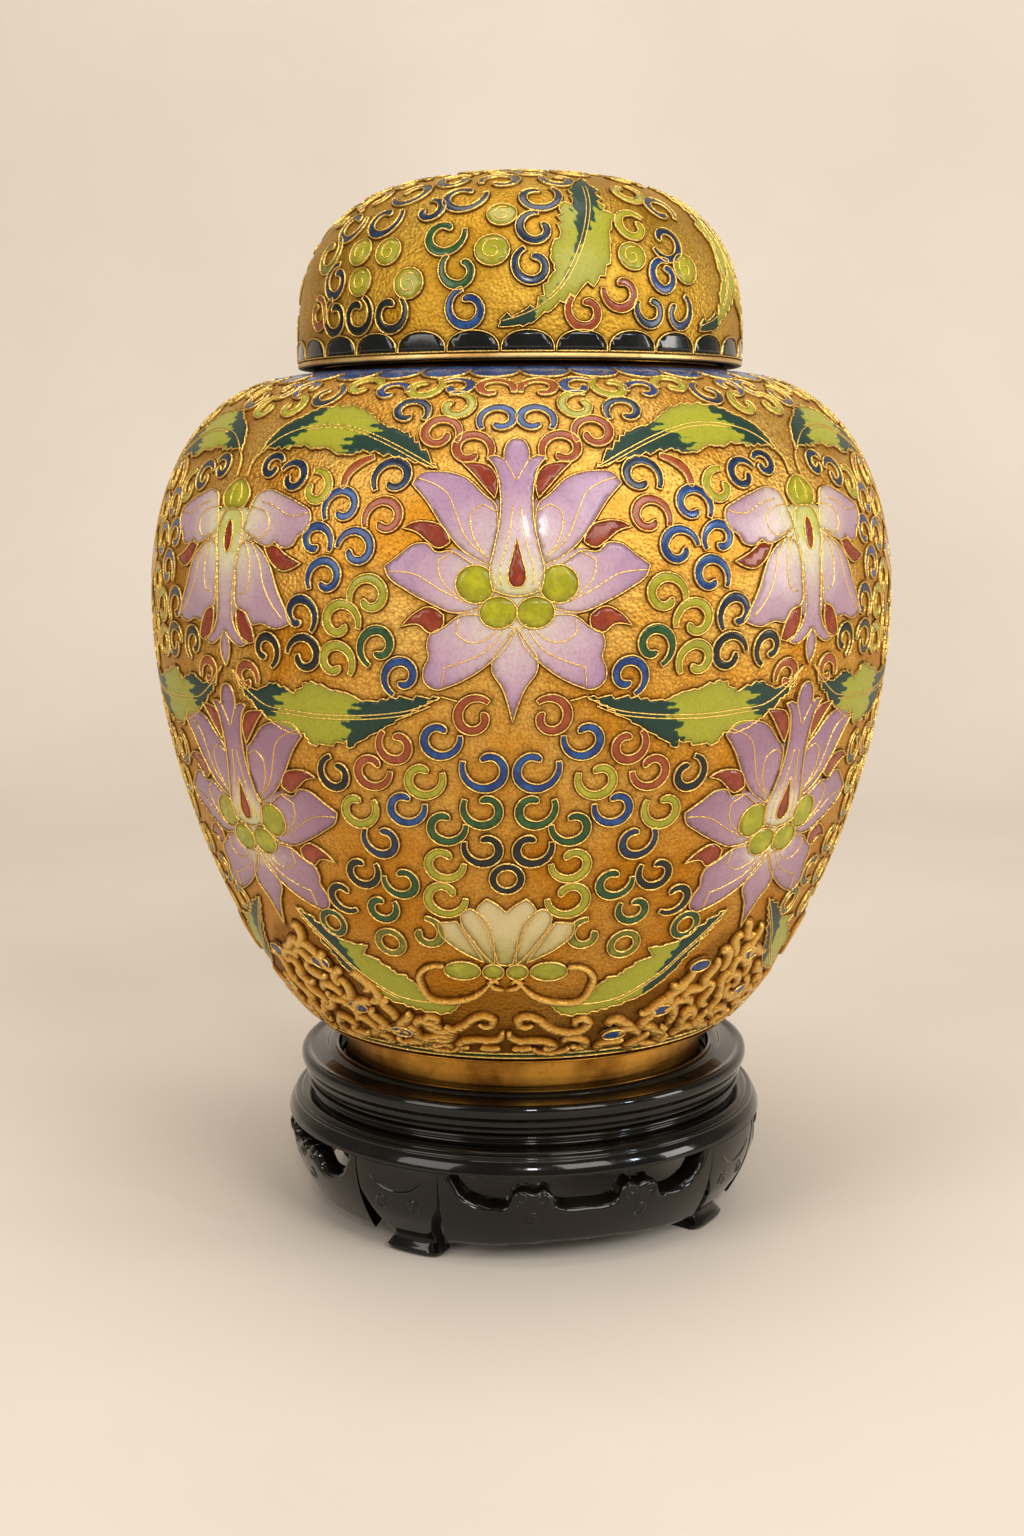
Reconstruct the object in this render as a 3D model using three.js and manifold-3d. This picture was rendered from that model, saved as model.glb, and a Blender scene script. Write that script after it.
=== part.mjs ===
// Covered cloisonne ginger jar on a carved, lacquered wooden stand.
// Millimetres, +Z up. The origin is on the axis, where the stand meets the table.
// Azimuth 0 is the front of the jar (-Y) and grows towards +X.
import * as THREE from 'three';
import { mergeVertices } from 'three/addons/utils/BufferGeometryUtils.js';
import Module from 'manifold-3d';

const wasm = await Module();
wasm.setup();

// ---- driving dimensions -------------------------------------------------
const BELLY_RADIUS = 102;          // widest enamelled radius of the jar (an 8 inch body)
const BASE_EDGE_RADIUS = 59.5;     // lower edge of the enamel
const BASE_EDGE_Z = 56.5;
const BELLY_Z = 172.7;
const SHOULDER_RADIUS = 57.5;      // where the shoulder turns flat under the lid
const SHOULDER_Z = 233.6;
const LID_RADIUS = 60.9;
const LID_RIM_Z = 235.5;           // underside of the lid
const LID_DOME_Z = 241.5;          // where the lid's straight wall ends
const LID_DOME_RISE = 44.9;
const PATCH_DEPTH = 0.5;           // thickness of a flower's enamel under the polished skin
const WALL = 1.4;                  // spun copper
const ENAMEL = 1.3;                // depth of a filled cell, over the copper
const GAP = 0.3;                   // clearance between pieces that touch
const FOOT_RING_RADIUS = 51.5;
const NECK_RADIUS = 54.6;
const NECK_TOP_Z = 252;
const STAND_RIM_RADIUS = 64.2;
const STAND_BULGE_RADIUS = 68;
const STAND_RIM_Z = 44.9;
const SEAT_Z = 40.5;               // face that the foot ring rests on
const FOOT_AZIMUTHS = [-30.5, 59.5, 149.5, 239.5];
const FOOT_HALF_ANGLE = 11;
const PEG_RADIUS = 2;
const SEGMENTS = 40;               // round a full turn

const radians = THREE.MathUtils.degToRad;
const point = (r, z) => new THREE.Vector2(r, z);

// ---- materials ----------------------------------------------------------
function material(color, roughness, metalness) {
  return new THREE.MeshStandardMaterial({ color, roughness, metalness, side: THREE.FrontSide });
}
const gilt = () => material(0xd39a35, 0.35, 1);
const copper = () => material(0xb06a30, 0.4, 1);
const lilac = () => material(0xc4a5c6, 0.25, 0);
const cream = () => material(0xd8cf9a, 0.25, 0);
const blueEnamel = () => material(0x2a4478, 0.2, 0);
const blackEnamel = () => material(0x1e2326, 0.2, 0);
const lacquer = () => material(0x15130f, 0.25, 0);
const wood = () => material(0x6b4a2b, 0.6, 0);

// ---- building blocks ----------------------------------------------------
const object = new THREE.Group();

function add(name, geometry, finish) {
  const mesh = new THREE.Mesh(geometry, finish);
  mesh.name = name;
  object.add(mesh);
  return mesh;
}

// A place in space from radius, azimuth in degrees and height.
function place(r, azimuth, z) {
  const a = radians(azimuth);
  return [r * Math.sin(a), -r * Math.cos(a), z];
}

// Turns a closed outline (anticlockwise, radius across and height up) round the axis.
function turned(outline) {
  const closed = [...outline, outline[0]];
  const geometry = new THREE.LatheGeometry(closed, SEGMENTS);
  geometry.rotateX(Math.PI / 2);
  return welded(geometry);
}

// A solid that reaches the axis: its outline starts and ends on it.
function turnedSolid(outline) {
  const geometry = new THREE.LatheGeometry(outline, SEGMENTS);
  geometry.rotateX(Math.PI / 2);
  return welded(geometry);
}

function welded(geometry) {
  geometry.deleteAttribute('normal');
  geometry.deleteAttribute('uv');
  const shared = mergeVertices(geometry, 1e-4);
  const corners = shared.index.array;
  const at = shared.attributes.position;
  const kept = [];
  for (let i = 0; i < corners.length; i += 3) {
    const [a, b, c] = [corners[i], corners[i + 1], corners[i + 2]];
    if (a !== b && b !== c && c !== a) kept.push(a, b, c);
  }
  shared.setIndex(kept);
  return volume(kept, at) < 0 ? flipped(shared) : shared;
}

function volume(indices, at) {
  const [a, b, c] = [new THREE.Vector3(), new THREE.Vector3(), new THREE.Vector3()];
  let total = 0;
  for (let i = 0; i < indices.length; i += 3) {
    a.fromBufferAttribute(at, indices[i]);
    b.fromBufferAttribute(at, indices[i + 1]);
    c.fromBufferAttribute(at, indices[i + 2]);
    total += a.dot(b.cross(c)) / 6;
  }
  return total;
}

function flipped(geometry) {
  const indices = Array.from(geometry.index.array);
  for (let i = 0; i < indices.length; i += 3) {
    [indices[i + 1], indices[i + 2]] = [indices[i + 2], indices[i + 1]];
  }
  geometry.setIndex(indices);
  return geometry;
}

function toSolid(geometry) {
  const clean = welded(geometry.clone());
  return new wasm.Manifold(new wasm.Mesh({
    numProp: 3,
    vertProperties: new Float32Array(clean.attributes.position.array),
    triVerts: new Uint32Array(clean.index.array),
  }));
}

function toGeometry(solid) {
  const mesh = solid.getMesh();
  const geometry = new THREE.BufferGeometry();
  geometry.setAttribute('position', new THREE.BufferAttribute(mesh.vertProperties, 3));
  geometry.setIndex(new THREE.BufferAttribute(mesh.triVerts, 1));
  return geometry;
}

// Sweeps an outline through an arc about the axis. halfAngle(z) lets the arc narrow with height.
function arcSolid(outline, centre, halfAngle, steps) {
  const positions = [];
  for (let step = 0; step <= steps; step += 1) {
    const t = (2 * step) / steps - 1;
    for (const p of outline) positions.push(...place(p.x, centre + t * halfAngle(p.y), p.y));
  }
  const count = outline.length;
  const indices = [];
  for (let step = 0; step < steps; step += 1) {
    for (let i = 0; i < count; i += 1) {
      const a = step * count + i;
      const b = step * count + ((i + 1) % count);
      indices.push(a, a + count, b + count, a, b + count, b);
    }
  }
  const last = steps * count;
  for (const [a, b, c] of THREE.ShapeUtils.triangulateShape(outline, [])) {
    indices.push(a, b, c, last + a, last + c, last + b);
  }
  const geometry = new THREE.BufferGeometry();
  geometry.setAttribute('position', new THREE.Float32BufferAttribute(positions, 3));
  geometry.setIndex(indices);
  return volume(indices, geometry.attributes.position) < 0 ? flipped(geometry) : geometry;
}

// An upright round peg, or the hole for one.
function peg(radius, azimuth, r, low, high) {
  const sides = 8;
  const geometry = new THREE.CylinderGeometry(radius, radius, high - low, sides);
  geometry.rotateX(Math.PI / 2);
  const [x, y] = place(r, azimuth, 0);
  geometry.translate(x, y, (low + high) / 2);
  return geometry;
}

// ---- jar ----------------------------------------------------------------
// The enamelled skin of the jar, from the base edge up to the shoulder.
const belly = new THREE.CubicBezierCurve(
  point(BASE_EDGE_RADIUS, BASE_EDGE_Z),
  point(79.3, 73.9),
  point(BELLY_RADIUS, 126.3),
  point(BELLY_RADIUS, BELLY_Z),
);
const shoulder = new THREE.CubicBezierCurve(
  point(BELLY_RADIUS, BELLY_Z),
  point(BELLY_RADIUS, 208.4),
  point(86.2, SHOULDER_Z),
  point(SHOULDER_RADIUS, SHOULDER_Z),
);
const skin = new THREE.CurvePath();
skin.add(belly);
skin.add(shoulder);
const SKIN_LENGTH = skin.getLength();

// A point on the jar's skin by its distance up from the base edge, moved out along the normal.
function skinPoint(distance, offset) {
  const t = THREE.MathUtils.clamp(distance / SKIN_LENGTH, 0, 1);
  const at = skin.getPointAt(t);
  const along = skin.getTangentAt(t);
  return point(at.x + along.y * offset, at.y - along.x * offset);
}

function jarBody() {
  const steps = 12;
  const outer = [];
  const inner = [];
  for (let i = 0; i <= steps; i += 1) {
    const distance = (SKIN_LENGTH * i) / steps;
    outer.push(skinPoint(distance, -ENAMEL));
    if (i > 0) inner.unshift(skinPoint(distance, -ENAMEL - WALL));
  }
  const opening = NECK_RADIUS + GAP;
  const top = outer.at(-1).y;
  const floor = BASE_EDGE_Z - GAP;
  const flange = 48;
  return turned([
    point(flange, floor),
    point(BASE_EDGE_RADIUS - ENAMEL, floor),
    ...outer.slice(1),
    point(opening, top),
    point(opening, top - WALL),
    ...inner,
    point(BASE_EDGE_RADIUS - WALL, floor + WALL),
    point(flange, floor + WALL),
  ]);
}

function neckCollar() {
  const inside = NECK_RADIUS - 1.5;
  const bottom = SHOULDER_Z - 3.6;
  return turned([
    point(inside, bottom),
    point(NECK_RADIUS, bottom),
    point(NECK_RADIUS, NECK_TOP_Z),
    point(inside, NECK_TOP_Z),
  ]);
}

// Half-round bead along the top of the neck.
function neckRim() {
  const middle = NECK_RADIUS - 0.75;
  const radius = 1.2;
  const outline = [];
  for (let i = 0; i <= 4; i += 1) {
    const a = (Math.PI * i) / 4;
    outline.push(point(middle + radius * Math.cos(a), NECK_TOP_Z + GAP + radius * Math.sin(a)));
  }
  return turned(outline);
}

function flatRing(inside, outside, bottom, top) {
  return turned([
    point(inside, bottom),
    point(outside, bottom),
    point(outside, top),
    point(inside, top),
  ]);
}

function footRing() {
  const bottom = SEAT_Z + GAP;
  const inside = FOOT_RING_RADIUS - 1.8;
  return turned([
    point(inside, bottom),
    point(FOOT_RING_RADIUS, bottom),
    point(FOOT_RING_RADIUS, bottom + 2.2),
    point(FOOT_RING_RADIUS - 0.5, bottom + 3),
    point(FOOT_RING_RADIUS - 0.5, BASE_EDGE_Z - 2 * GAP),
    point(inside, BASE_EDGE_Z - 2 * GAP),
  ]);
}

const SHOULDER_BAND_WIDTH = 15.2;
const SHOULDER_BAND_INSET = 0.8;   // from the neck's foot down to the band

// The scalloped border of blue enamel under the lid.
function shoulderBand() {
  const to = SKIN_LENGTH - SHOULDER_BAND_INSET;
  const from = to - SHOULDER_BAND_WIDTH;
  const steps = 4;
  const low = -ENAMEL + GAP;
  const along = (i) => from + ((to - from) * i) / steps;
  const outline = [];
  for (let i = 0; i <= steps; i += 1) outline.push(skinPoint(along(i), 0));
  for (let i = steps; i >= 0; i -= 1) outline.push(skinPoint(along(i), low));
  return turned(outline);
}

function buildJar() {
  const top = skinPoint(SKIN_LENGTH, -ENAMEL).y;
  const base = BASE_EDGE_Z - GAP + WALL + GAP;
  add('jar_body', jarBody(), copper());
  add('jar_neck_collar', neckCollar(), gilt());
  add('jar_neck_rim', neckRim(), gilt());
  add('jar_seat_ring', flatRing(NECK_RADIUS + GAP, SHOULDER_RADIUS - 0.4, top + GAP, LID_RIM_Z - GAP),
    gilt());
  add('jar_border_wire', flatRing(FOOT_RING_RADIUS + GAP, BASE_EDGE_RADIUS, BASE_EDGE_Z - 1.4,
    BASE_EDGE_Z - 2 * GAP), gilt());
  add('jar_foot_ring', footRing(), gilt());
  add('jar_base_plate', turnedSolid([point(0, base), point(54, base), point(54, base + 1.2),
    point(0, base + 1.2)]), copper());
  add('jar_shoulder_band', shoulderBand(), blueEnamel());
}

// ---- enamel flowers -----------------------------------------------------
// A petal is [direction in degrees, length]. Between two petals the outline falls back to a notch.
const LOTUS = [[90, 37], [129, 37], [167, 33], [222, 31], [270, 29], [318, 31], [13, 33], [51, 37]];
const BLOSSOM = [[90, 21], [157, 28], [214, 26], [270, 25], [326, 26], [23, 28]];
const HALF_FLOWER = [[90, 18], [130, 18], [168, 16], [200, 14], [270, 9], [340, 14], [12, 16], [50, 18]];
const FLOWERS = [
  { name: 'lotus', petals: LOTUS, azimuths: [0, 90, 180, 270], height: 132, rings: 3, finish: lilac },
  { name: 'blossom', petals: BLOSSOM, azimuths: [45, 135, 225, 315], height: 140, rings: 2, finish: lilac },
  { name: 'low_lotus', petals: LOTUS, azimuths: [45, 135, 225, 315], height: 71, rings: 3, finish: lilac },
  { name: 'half_flower', petals: HALF_FLOWER, azimuths: [0, 90, 180, 270], height: 40, rings: 1,
    finish: cream },
];

// Outline of a flower about its heart: each petal has two shoulders and a tip.
function flowerOutline(petals) {
  const sorted = [...petals].sort((a, b) => a[0] - b[0]);
  const outline = [];
  const polar = (direction, length) => {
    const a = radians(direction);
    outline.push(point(length * Math.cos(a), length * Math.sin(a)));
  };
  sorted.forEach(([direction, length], i) => {
    const [next, nextLength] = sorted[(i + 1) % sorted.length];
    const spread = (next - direction + 360) % 360;
    polar(direction, length);
    polar(direction + spread * 0.3, length * 0.78);
    polar(direction + spread * 0.5, Math.min(length, nextLength) * 0.6);
    polar(direction + spread * 0.7, nextLength * 0.78);
  });
  return outline;
}

// A thin patch of enamel that follows the jar's skin. across and up are millimetres on the skin.
function enamelPatch(outline, azimuth, height, rings) {
  const positions = [];
  const layers = [-PATCH_DEPTH, 0.1];
  const drop = (across, up, offset) => {
    const p = skinPoint(height + up, offset);
    const round = skinPoint(height + up, 0).x;
    positions.push(...place(p.x, azimuth + THREE.MathUtils.radToDeg(across / round), p.y));
  };
  for (const offset of layers) {
    drop(0, 0, offset);
    for (let ring = 1; ring <= rings; ring += 1) {
      for (const p of outline) drop((p.x * ring) / rings, (p.y * ring) / rings, offset);
    }
  }
  const count = outline.length;
  const layerSize = 1 + rings * count;
  const indices = [];
  const vertex = (layer, ring, i) => layer * layerSize + 1 + (ring - 1) * count + (i % count);
  const face = (layer, a, b, c) => indices.push(...(layer === 1 ? [a, b, c] : [a, c, b]));
  for (const layer of [0, 1]) {
    for (let i = 0; i < count; i += 1) {
      face(layer, layer * layerSize, vertex(layer, 1, i), vertex(layer, 1, i + 1));
      for (let ring = 1; ring < rings; ring += 1) {
        const [a, b] = [vertex(layer, ring, i), vertex(layer, ring, i + 1)];
        const [c, d] = [vertex(layer, ring + 1, i), vertex(layer, ring + 1, i + 1)];
        face(layer, a, c, d);
        face(layer, a, d, b);
      }
    }
  }
  for (let i = 0; i < count; i += 1) {
    const [a, b] = [vertex(0, rings, i), vertex(0, rings, i + 1)];
    const [c, d] = [vertex(1, rings, i), vertex(1, rings, i + 1)];
    indices.push(a, b, d, a, d, c);
  }
  const geometry = new THREE.BufferGeometry();
  geometry.setAttribute('position', new THREE.Float32BufferAttribute(positions, 3));
  geometry.setIndex(indices);
  return volume(indices, geometry.attributes.position) < 0 ? flipped(geometry) : geometry;
}

function buildFlowers() {
  for (const flower of FLOWERS) {
    const outline = flowerOutline(flower.petals);
    flower.azimuths.forEach((azimuth, i) => {
      const patch = enamelPatch(outline, azimuth, flower.height, flower.rings);
      add(`enamel_${flower.name}_${i + 1}`, patch, flower.finish());
    });
  }
}

// ---- lid ----------------------------------------------------------------
const LID_BAND_TOP = LID_RIM_Z + 1.4;
const LID_WALL = 1.5;

// Section of the dome at turn t (0 at the wall, a quarter turn at the crown), inset by a thickness.
function domePoint(t, inset) {
  return point(
    (LID_RADIUS - inset) * Math.cos(t) ** 0.658,
    LID_DOME_Z + (LID_DOME_RISE - inset) * Math.sin(t) ** 0.773,
  );
}

function domeArc(steps, inset) {
  const arc = [];
  for (let i = 0; i < steps; i += 1) arc.push(domePoint((Math.PI / 2) * (i / steps), inset));
  arc.push(point(0, LID_DOME_Z + LID_DOME_RISE - inset));
  return arc;
}

function lidDome() {
  const outer = ENAMEL / 2;
  const bottom = LID_BAND_TOP + GAP;
  return turnedSolid([
    ...domeArc(8, outer + LID_WALL).reverse(),
    point(LID_RADIUS - outer - LID_WALL, bottom),
    point(LID_RADIUS - outer, bottom),
    ...domeArc(9, outer),
  ]);
}

// The sleeve soldered inside the lid, which slips over the neck.
function lidSleeve() {
  const inside = NECK_RADIUS + 0.6;
  const flange = LID_RADIUS - LID_WALL - GAP;
  const thick = 1.1;
  return turned([
    point(inside, LID_RIM_Z),
    point(flange, LID_RIM_Z),
    point(flange, LID_RIM_Z + thick),
    point(inside + thick, LID_RIM_Z + thick),
    point(inside + thick, LID_RIM_Z + 9),
    point(inside, LID_RIM_Z + 9),
  ]);
}

function buildLid() {
  add('lid_dome', lidDome(), copper());
  add('lid_rim_band', flatRing(LID_RADIUS - LID_WALL, LID_RADIUS, LID_RIM_Z, LID_BAND_TOP), gilt());
  add('lid_sleeve', lidSleeve(), gilt());
}

// ---- stand --------------------------------------------------------------
const PANEL_RADIUS = 57.2;
const PANEL_BOTTOM_Z = 36.6;
const WAIST_TOP_Z = PANEL_BOTTOM_Z - GAP;
const WAIST_BOTTOM_Z = 33.2;
const APRON_TOP_Z = WAIST_BOTTOM_Z - GAP;
const APRON_BOTTOM_Z = 27.4;
const LEG_TOP_Z = APRON_BOTTOM_Z - GAP;
const INNER_BEAD_Z = STAND_RIM_Z + 1.2;
const PEG_BOTTOM_Z = 20;
const PEG_TOP_Z = 30.5;
const PEG_PLACE_RADIUS = 64;

// Outer radius of the carved wall, which swells under the waist and draws in to the floor.
function wallRadius(z) {
  const down = Math.max(0, (26.7 - z) / 25);
  return STAND_BULGE_RADIUS - 9.5 * down ** 2;
}

// Moulded rim with a bead each side of a shallow hollow, and a ledge underneath for the panel.
function topRing() {
  const recess = FOOT_RING_RADIUS + 1.6;
  return turned([
    point(recess, SEAT_Z + GAP),
    point(PANEL_RADIUS + GAP, SEAT_Z + GAP),
    point(PANEL_RADIUS + GAP, WAIST_TOP_Z + GAP),
    point(61.8, WAIST_TOP_Z + GAP),
    point(62.3, 38.4),
    point(63, 40),
    point(63.9, 41.4),
    point(STAND_RIM_RADIUS, 42.8),
    point(63.9, 44.2),
    point(63.1, STAND_RIM_Z),
    point(62, STAND_RIM_Z),
    point(61, 44.3),
    point(57, 44.8),
    point(56, INNER_BEAD_Z - 0.4),
    point(54.8, INNER_BEAD_Z),
    point(53.6, INNER_BEAD_Z - 0.2),
    point(recess, INNER_BEAD_Z - 0.9),
  ]);
}

function waistRing() {
  return turned([
    point(50, WAIST_BOTTOM_Z),
    point(61.2, WAIST_BOTTOM_Z),
    point(60.8, 34.2),
    point(61.2, 35.2),
    point(62.4, 35.4),
    point(62.4, WAIST_TOP_Z),
    point(50, WAIST_TOP_Z),
  ]);
}

// The swelling ring under the waist, bored for the pegs that hold the feet.
function apronRing() {
  let solid = toSolid(turned([
    point(57, APRON_BOTTOM_Z),
    point(STAND_BULGE_RADIUS, APRON_BOTTOM_Z),
    point(67.6, 29.6),
    point(66.3, 31.4),
    point(65, 31.9),
    point(64.4, APRON_TOP_Z),
    point(57, APRON_TOP_Z),
  ]));
  for (const azimuth of FOOT_AZIMUTHS) {
    const hole = peg(PEG_RADIUS + GAP, azimuth, PEG_PLACE_RADIUS, APRON_BOTTOM_Z - 1, PEG_TOP_Z + GAP);
    solid = solid.subtract(toSolid(hole));
  }
  return toGeometry(solid);
}

// A cabriole foot: broad under the apron, narrow at the ankle, with a toe turned outward.
function foot(azimuth) {
  const ankle = 6;
  const angleAt = (z) => {
    const t = THREE.MathUtils.clamp((z - ankle) / (18 - ankle), 0, 1);
    return THREE.MathUtils.lerp(6.5, FOOT_HALF_ANGLE, t);
  };
  const outline = [
    point(52, 0),
    point(59.6, 0),
    point(60.2, 1.4),
    point(58.9, 3),
    point(61.8, ankle),
    point(wallRadius(12), 12),
    point(wallRadius(18), 18),
    point(wallRadius(LEG_TOP_Z), LEG_TOP_Z),
    point(59, LEG_TOP_Z),
    point(59, 18),
    point(55.5, ankle),
    point(51.4, 1.6),
  ];
  const hole = peg(PEG_RADIUS + GAP, azimuth, PEG_PLACE_RADIUS, PEG_BOTTOM_Z - GAP, LEG_TOP_Z + 1);
  return toGeometry(toSolid(arcSolid(outline, azimuth, angleAt, 4)).subtract(toSolid(hole)));
}

// The pierced panel between two feet: a rail, an upright at each end and two carved knobs.
function fretPanel(centre) {
  const gapAngle = 0.3;
  const halfAngle = 45 - FOOT_HALF_ANGLE - gapAngle;
  const railBottom = 5;
  const railTop = 18;
  const overlap = 3;
  const depth = 6;
  const section = (low, high, trim) => [
    point(wallRadius(low) - depth, low),
    point(wallRadius(low) - trim, low),
    point(wallRadius((low + high) / 2) - trim, (low + high) / 2),
    point(wallRadius(high) - trim, high),
    point(wallRadius(high) - depth, high),
  ];
  const block = (offset, half, low, high, steps, trim = 0) => toSolid(
    arcSolid(section(low, high, trim), centre + offset, () => half, steps),
  );
  let solid = block(0, halfAngle, railBottom, railTop, 14);
  const uprightHalf = 1.2;
  for (const side of [-1, 1]) {
    const upright = side * (halfAngle - uprightHalf);
    solid = solid.add(block(upright, uprightHalf, railTop - overlap, LEG_TOP_Z, 2));
    solid = solid.add(block(side * 12.8, 6, railTop - overlap, 23.6, 4, 0.4));
  }
  return toGeometry(solid);
}

function buildStand() {
  add('stand_top_ring', topRing(), lacquer());
  add('stand_seat_panel', turnedSolid([point(0, PANEL_BOTTOM_Z), point(PANEL_RADIUS, PANEL_BOTTOM_Z),
    point(PANEL_RADIUS, SEAT_Z), point(0, SEAT_Z)]), lacquer());
  add('stand_waist_ring', waistRing(), lacquer());
  add('stand_apron_ring', apronRing(), lacquer());
  FOOT_AZIMUTHS.forEach((azimuth, i) => {
    add(`stand_foot_${i + 1}`, foot(azimuth), lacquer());
    add(`stand_fret_${i + 1}`, fretPanel(azimuth + 45), lacquer());
    const pin = peg(PEG_RADIUS, azimuth, PEG_PLACE_RADIUS, PEG_BOTTOM_Z, PEG_TOP_Z);
    add(`stand_foot_peg_${i + 1}`, welded(pin), wood());
  });
}

// The enamel lappets round the foot of the dome.
function lidLappetBand() {
  const low = LID_BAND_TOP + GAP;
  const high = LID_DOME_Z + 1;
  const inside = LID_RADIUS - ENAMEL / 2 + GAP;
  return flatRing(inside, LID_RADIUS + 0.2, low, high);
}

buildStand();
buildJar();
buildFlowers();
buildLid();
add('lid_lappet_band', lidLappetBand(), blackEnamel());

export default object;
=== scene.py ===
"""Covered cloisonne ginger jar on a carved, lacquered stand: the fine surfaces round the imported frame.

Drawing is in millimetres and meshes are made in metres. Azimuth 0 is the front of the jar (-Y) and
grows towards +X. Ornament is drawn flat (mm across, mm up) and laid on a surface of revolution.
"""
import math

import bpy
import numpy as np
from mathutils import Matrix, Vector, geometry, kdtree


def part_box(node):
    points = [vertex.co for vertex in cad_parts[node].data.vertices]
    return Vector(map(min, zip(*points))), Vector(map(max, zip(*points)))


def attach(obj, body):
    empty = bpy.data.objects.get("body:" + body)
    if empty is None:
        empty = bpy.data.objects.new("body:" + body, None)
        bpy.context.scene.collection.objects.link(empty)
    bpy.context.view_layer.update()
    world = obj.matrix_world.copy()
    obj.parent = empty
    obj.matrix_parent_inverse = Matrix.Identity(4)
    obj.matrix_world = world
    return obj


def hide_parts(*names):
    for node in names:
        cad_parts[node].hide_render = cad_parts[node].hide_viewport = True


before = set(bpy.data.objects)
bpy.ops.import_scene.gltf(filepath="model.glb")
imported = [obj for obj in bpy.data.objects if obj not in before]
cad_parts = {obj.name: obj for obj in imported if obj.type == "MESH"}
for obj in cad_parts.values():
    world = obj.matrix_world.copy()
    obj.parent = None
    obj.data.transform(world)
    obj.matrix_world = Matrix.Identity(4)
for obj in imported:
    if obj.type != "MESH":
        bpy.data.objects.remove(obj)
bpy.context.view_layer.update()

MM = 0.001
QUARTERS = (0, 90, 180, 270)
SIDES = (1, -1)
FULL_TURN = 2 * math.pi


# ---- meshes ----
def placed(name, data):
    """Puts a new object in the scene."""
    made = bpy.data.objects.new(name, data)
    bpy.context.scene.collection.objects.link(made)
    return made


def round_axis(radius, angle, height):
    """Points at an angle round the axis, from the front towards +X."""
    return np.stack(np.broadcast_arrays(radius * np.sin(angle), -radius * np.cos(angle), height), axis=-1)


def split_faces(quads):
    """Quads that fold to a triangle at the axis become triangles."""
    folded_start = quads[:, 0] == quads[:, 1]
    folded_end = quads[:, 2] == quads[:, 3]
    whole = quads[~(folded_start | folded_end)]
    triangles = np.concatenate([quads[folded_start][:, [0, 2, 3]], quads[folded_end][:, [0, 1, 2]]])
    return whole, triangles


class Piece:
    """Gathers the surfaces of one piece, with numbers kept at each vertex, and makes its mesh."""

    def __init__(self):
        self.points, self.quads, self.triangles = [], [], []
        self.values = {}
        self.count = 0

    def add(self, points, quads=None, triangles=None, **values):
        total = len(points)
        self.points.append(points)
        if quads is not None and len(quads):
            self.quads.append(quads + self.count)
        if triangles is not None and len(triangles):
            self.triangles.append(triangles + self.count)
        for key in set(self.values) | set(values):
            earlier = self.values.setdefault(key, [np.zeros(self.count)])
            earlier.append(np.broadcast_to(values.get(key, 0.0), (total,)))
        self.count += total

    def make(self, name, body, slot, look, replaces=(), sharp=None):
        """Makes the piece. Edges that turn by more than sharp degrees are drawn sharp."""
        points = np.concatenate(self.points)
        quads = np.concatenate(self.quads) if self.quads else np.zeros((0, 4), int)
        triangles = np.concatenate(self.triangles) if self.triangles else np.zeros((0, 3), int)
        mesh = bpy.data.meshes.new(name)
        mesh.vertices.add(len(points))
        mesh.vertices.foreach_set("co", (points * MM).astype(np.float32).ravel())
        corners = np.concatenate([quads.ravel(), triangles.ravel()]).astype(np.int32)
        sizes = np.concatenate([np.full(len(quads), 4), np.full(len(triangles), 3)])
        starts = np.concatenate([[0], np.cumsum(sizes)[:-1]]).astype(np.int32)
        mesh.loops.add(len(corners))
        mesh.loops.foreach_set("vertex_index", corners)
        mesh.polygons.add(len(sizes))
        mesh.polygons.foreach_set("loop_start", starts)
        mesh.update(calc_edges=True)
        mesh.validate()
        mesh.shade_smooth()
        if sharp is not None:
            mesh.set_sharp_from_angle(angle=math.radians(sharp))
        for key, parts in self.values.items():
            attribute = mesh.attributes.new(key, "FLOAT", "POINT")
            attribute.data.foreach_set("value", np.concatenate(parts).astype(np.float32))
        mesh.materials.append(look)
        made = placed(name, mesh)
        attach(made, body)
        if replaces:
            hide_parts(*replaces)


def turned(piece, outline, columns):
    """Turns a closed outline of (radius, z), anticlockwise, round the axis."""
    radius, height = np.asarray(outline, float).T
    angles = np.linspace(0, FULL_TURN, columns, endpoint=False)
    points = round_axis(radius, angles[:, None], height).reshape(-1, 3)
    index = np.arange(len(points)).reshape(columns, -1)
    on_axis = radius < 1e-6
    index[:, on_axis] = index[0, on_axis]
    ahead = np.roll(index, -1, axis=0)
    quads = np.stack([index, ahead, np.roll(ahead, -1, axis=1), np.roll(index, -1, axis=1)], axis=-1)
    lies_on_axis = on_axis & np.roll(on_axis, -1)
    whole, triangles = split_faces(quads[:, ~lies_on_axis].reshape(-1, 4))
    used, packed = np.unique(np.concatenate([whole.ravel(), triangles.ravel()]), return_inverse=True)
    cut = whole.size
    piece.add(points[used], packed[:cut].reshape(-1, 4), packed[cut:].reshape(-1, 3))


EASE_SHARE = 0.45        # most of a side that one eased corner takes up
THIN_RISE = 0.4          # share of its height that the thinnest swept line keeps


def rounded(outline, radius, steps=4):
    """A closed outline with each corner eased by an arc of about that radius."""
    outline = np.asarray(outline, float)
    eased = []
    for i, corner in enumerate(outline):
        back, on = outline[i - 1] - corner, outline[(i + 1) % len(outline)] - corner
        reach_back, reach_on = np.hypot(*back), np.hypot(*on)
        reach = min(radius, EASE_SHARE * reach_back, EASE_SHARE * reach_on)
        start, end = corner + back / reach_back * reach, corner + on / reach_on * reach
        for t in np.linspace(0, 1, steps):
            eased.append((1 - t) ** 2 * start + 2 * t * (1 - t) * corner + t ** 2 * end)
    return np.array(eased)


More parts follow.
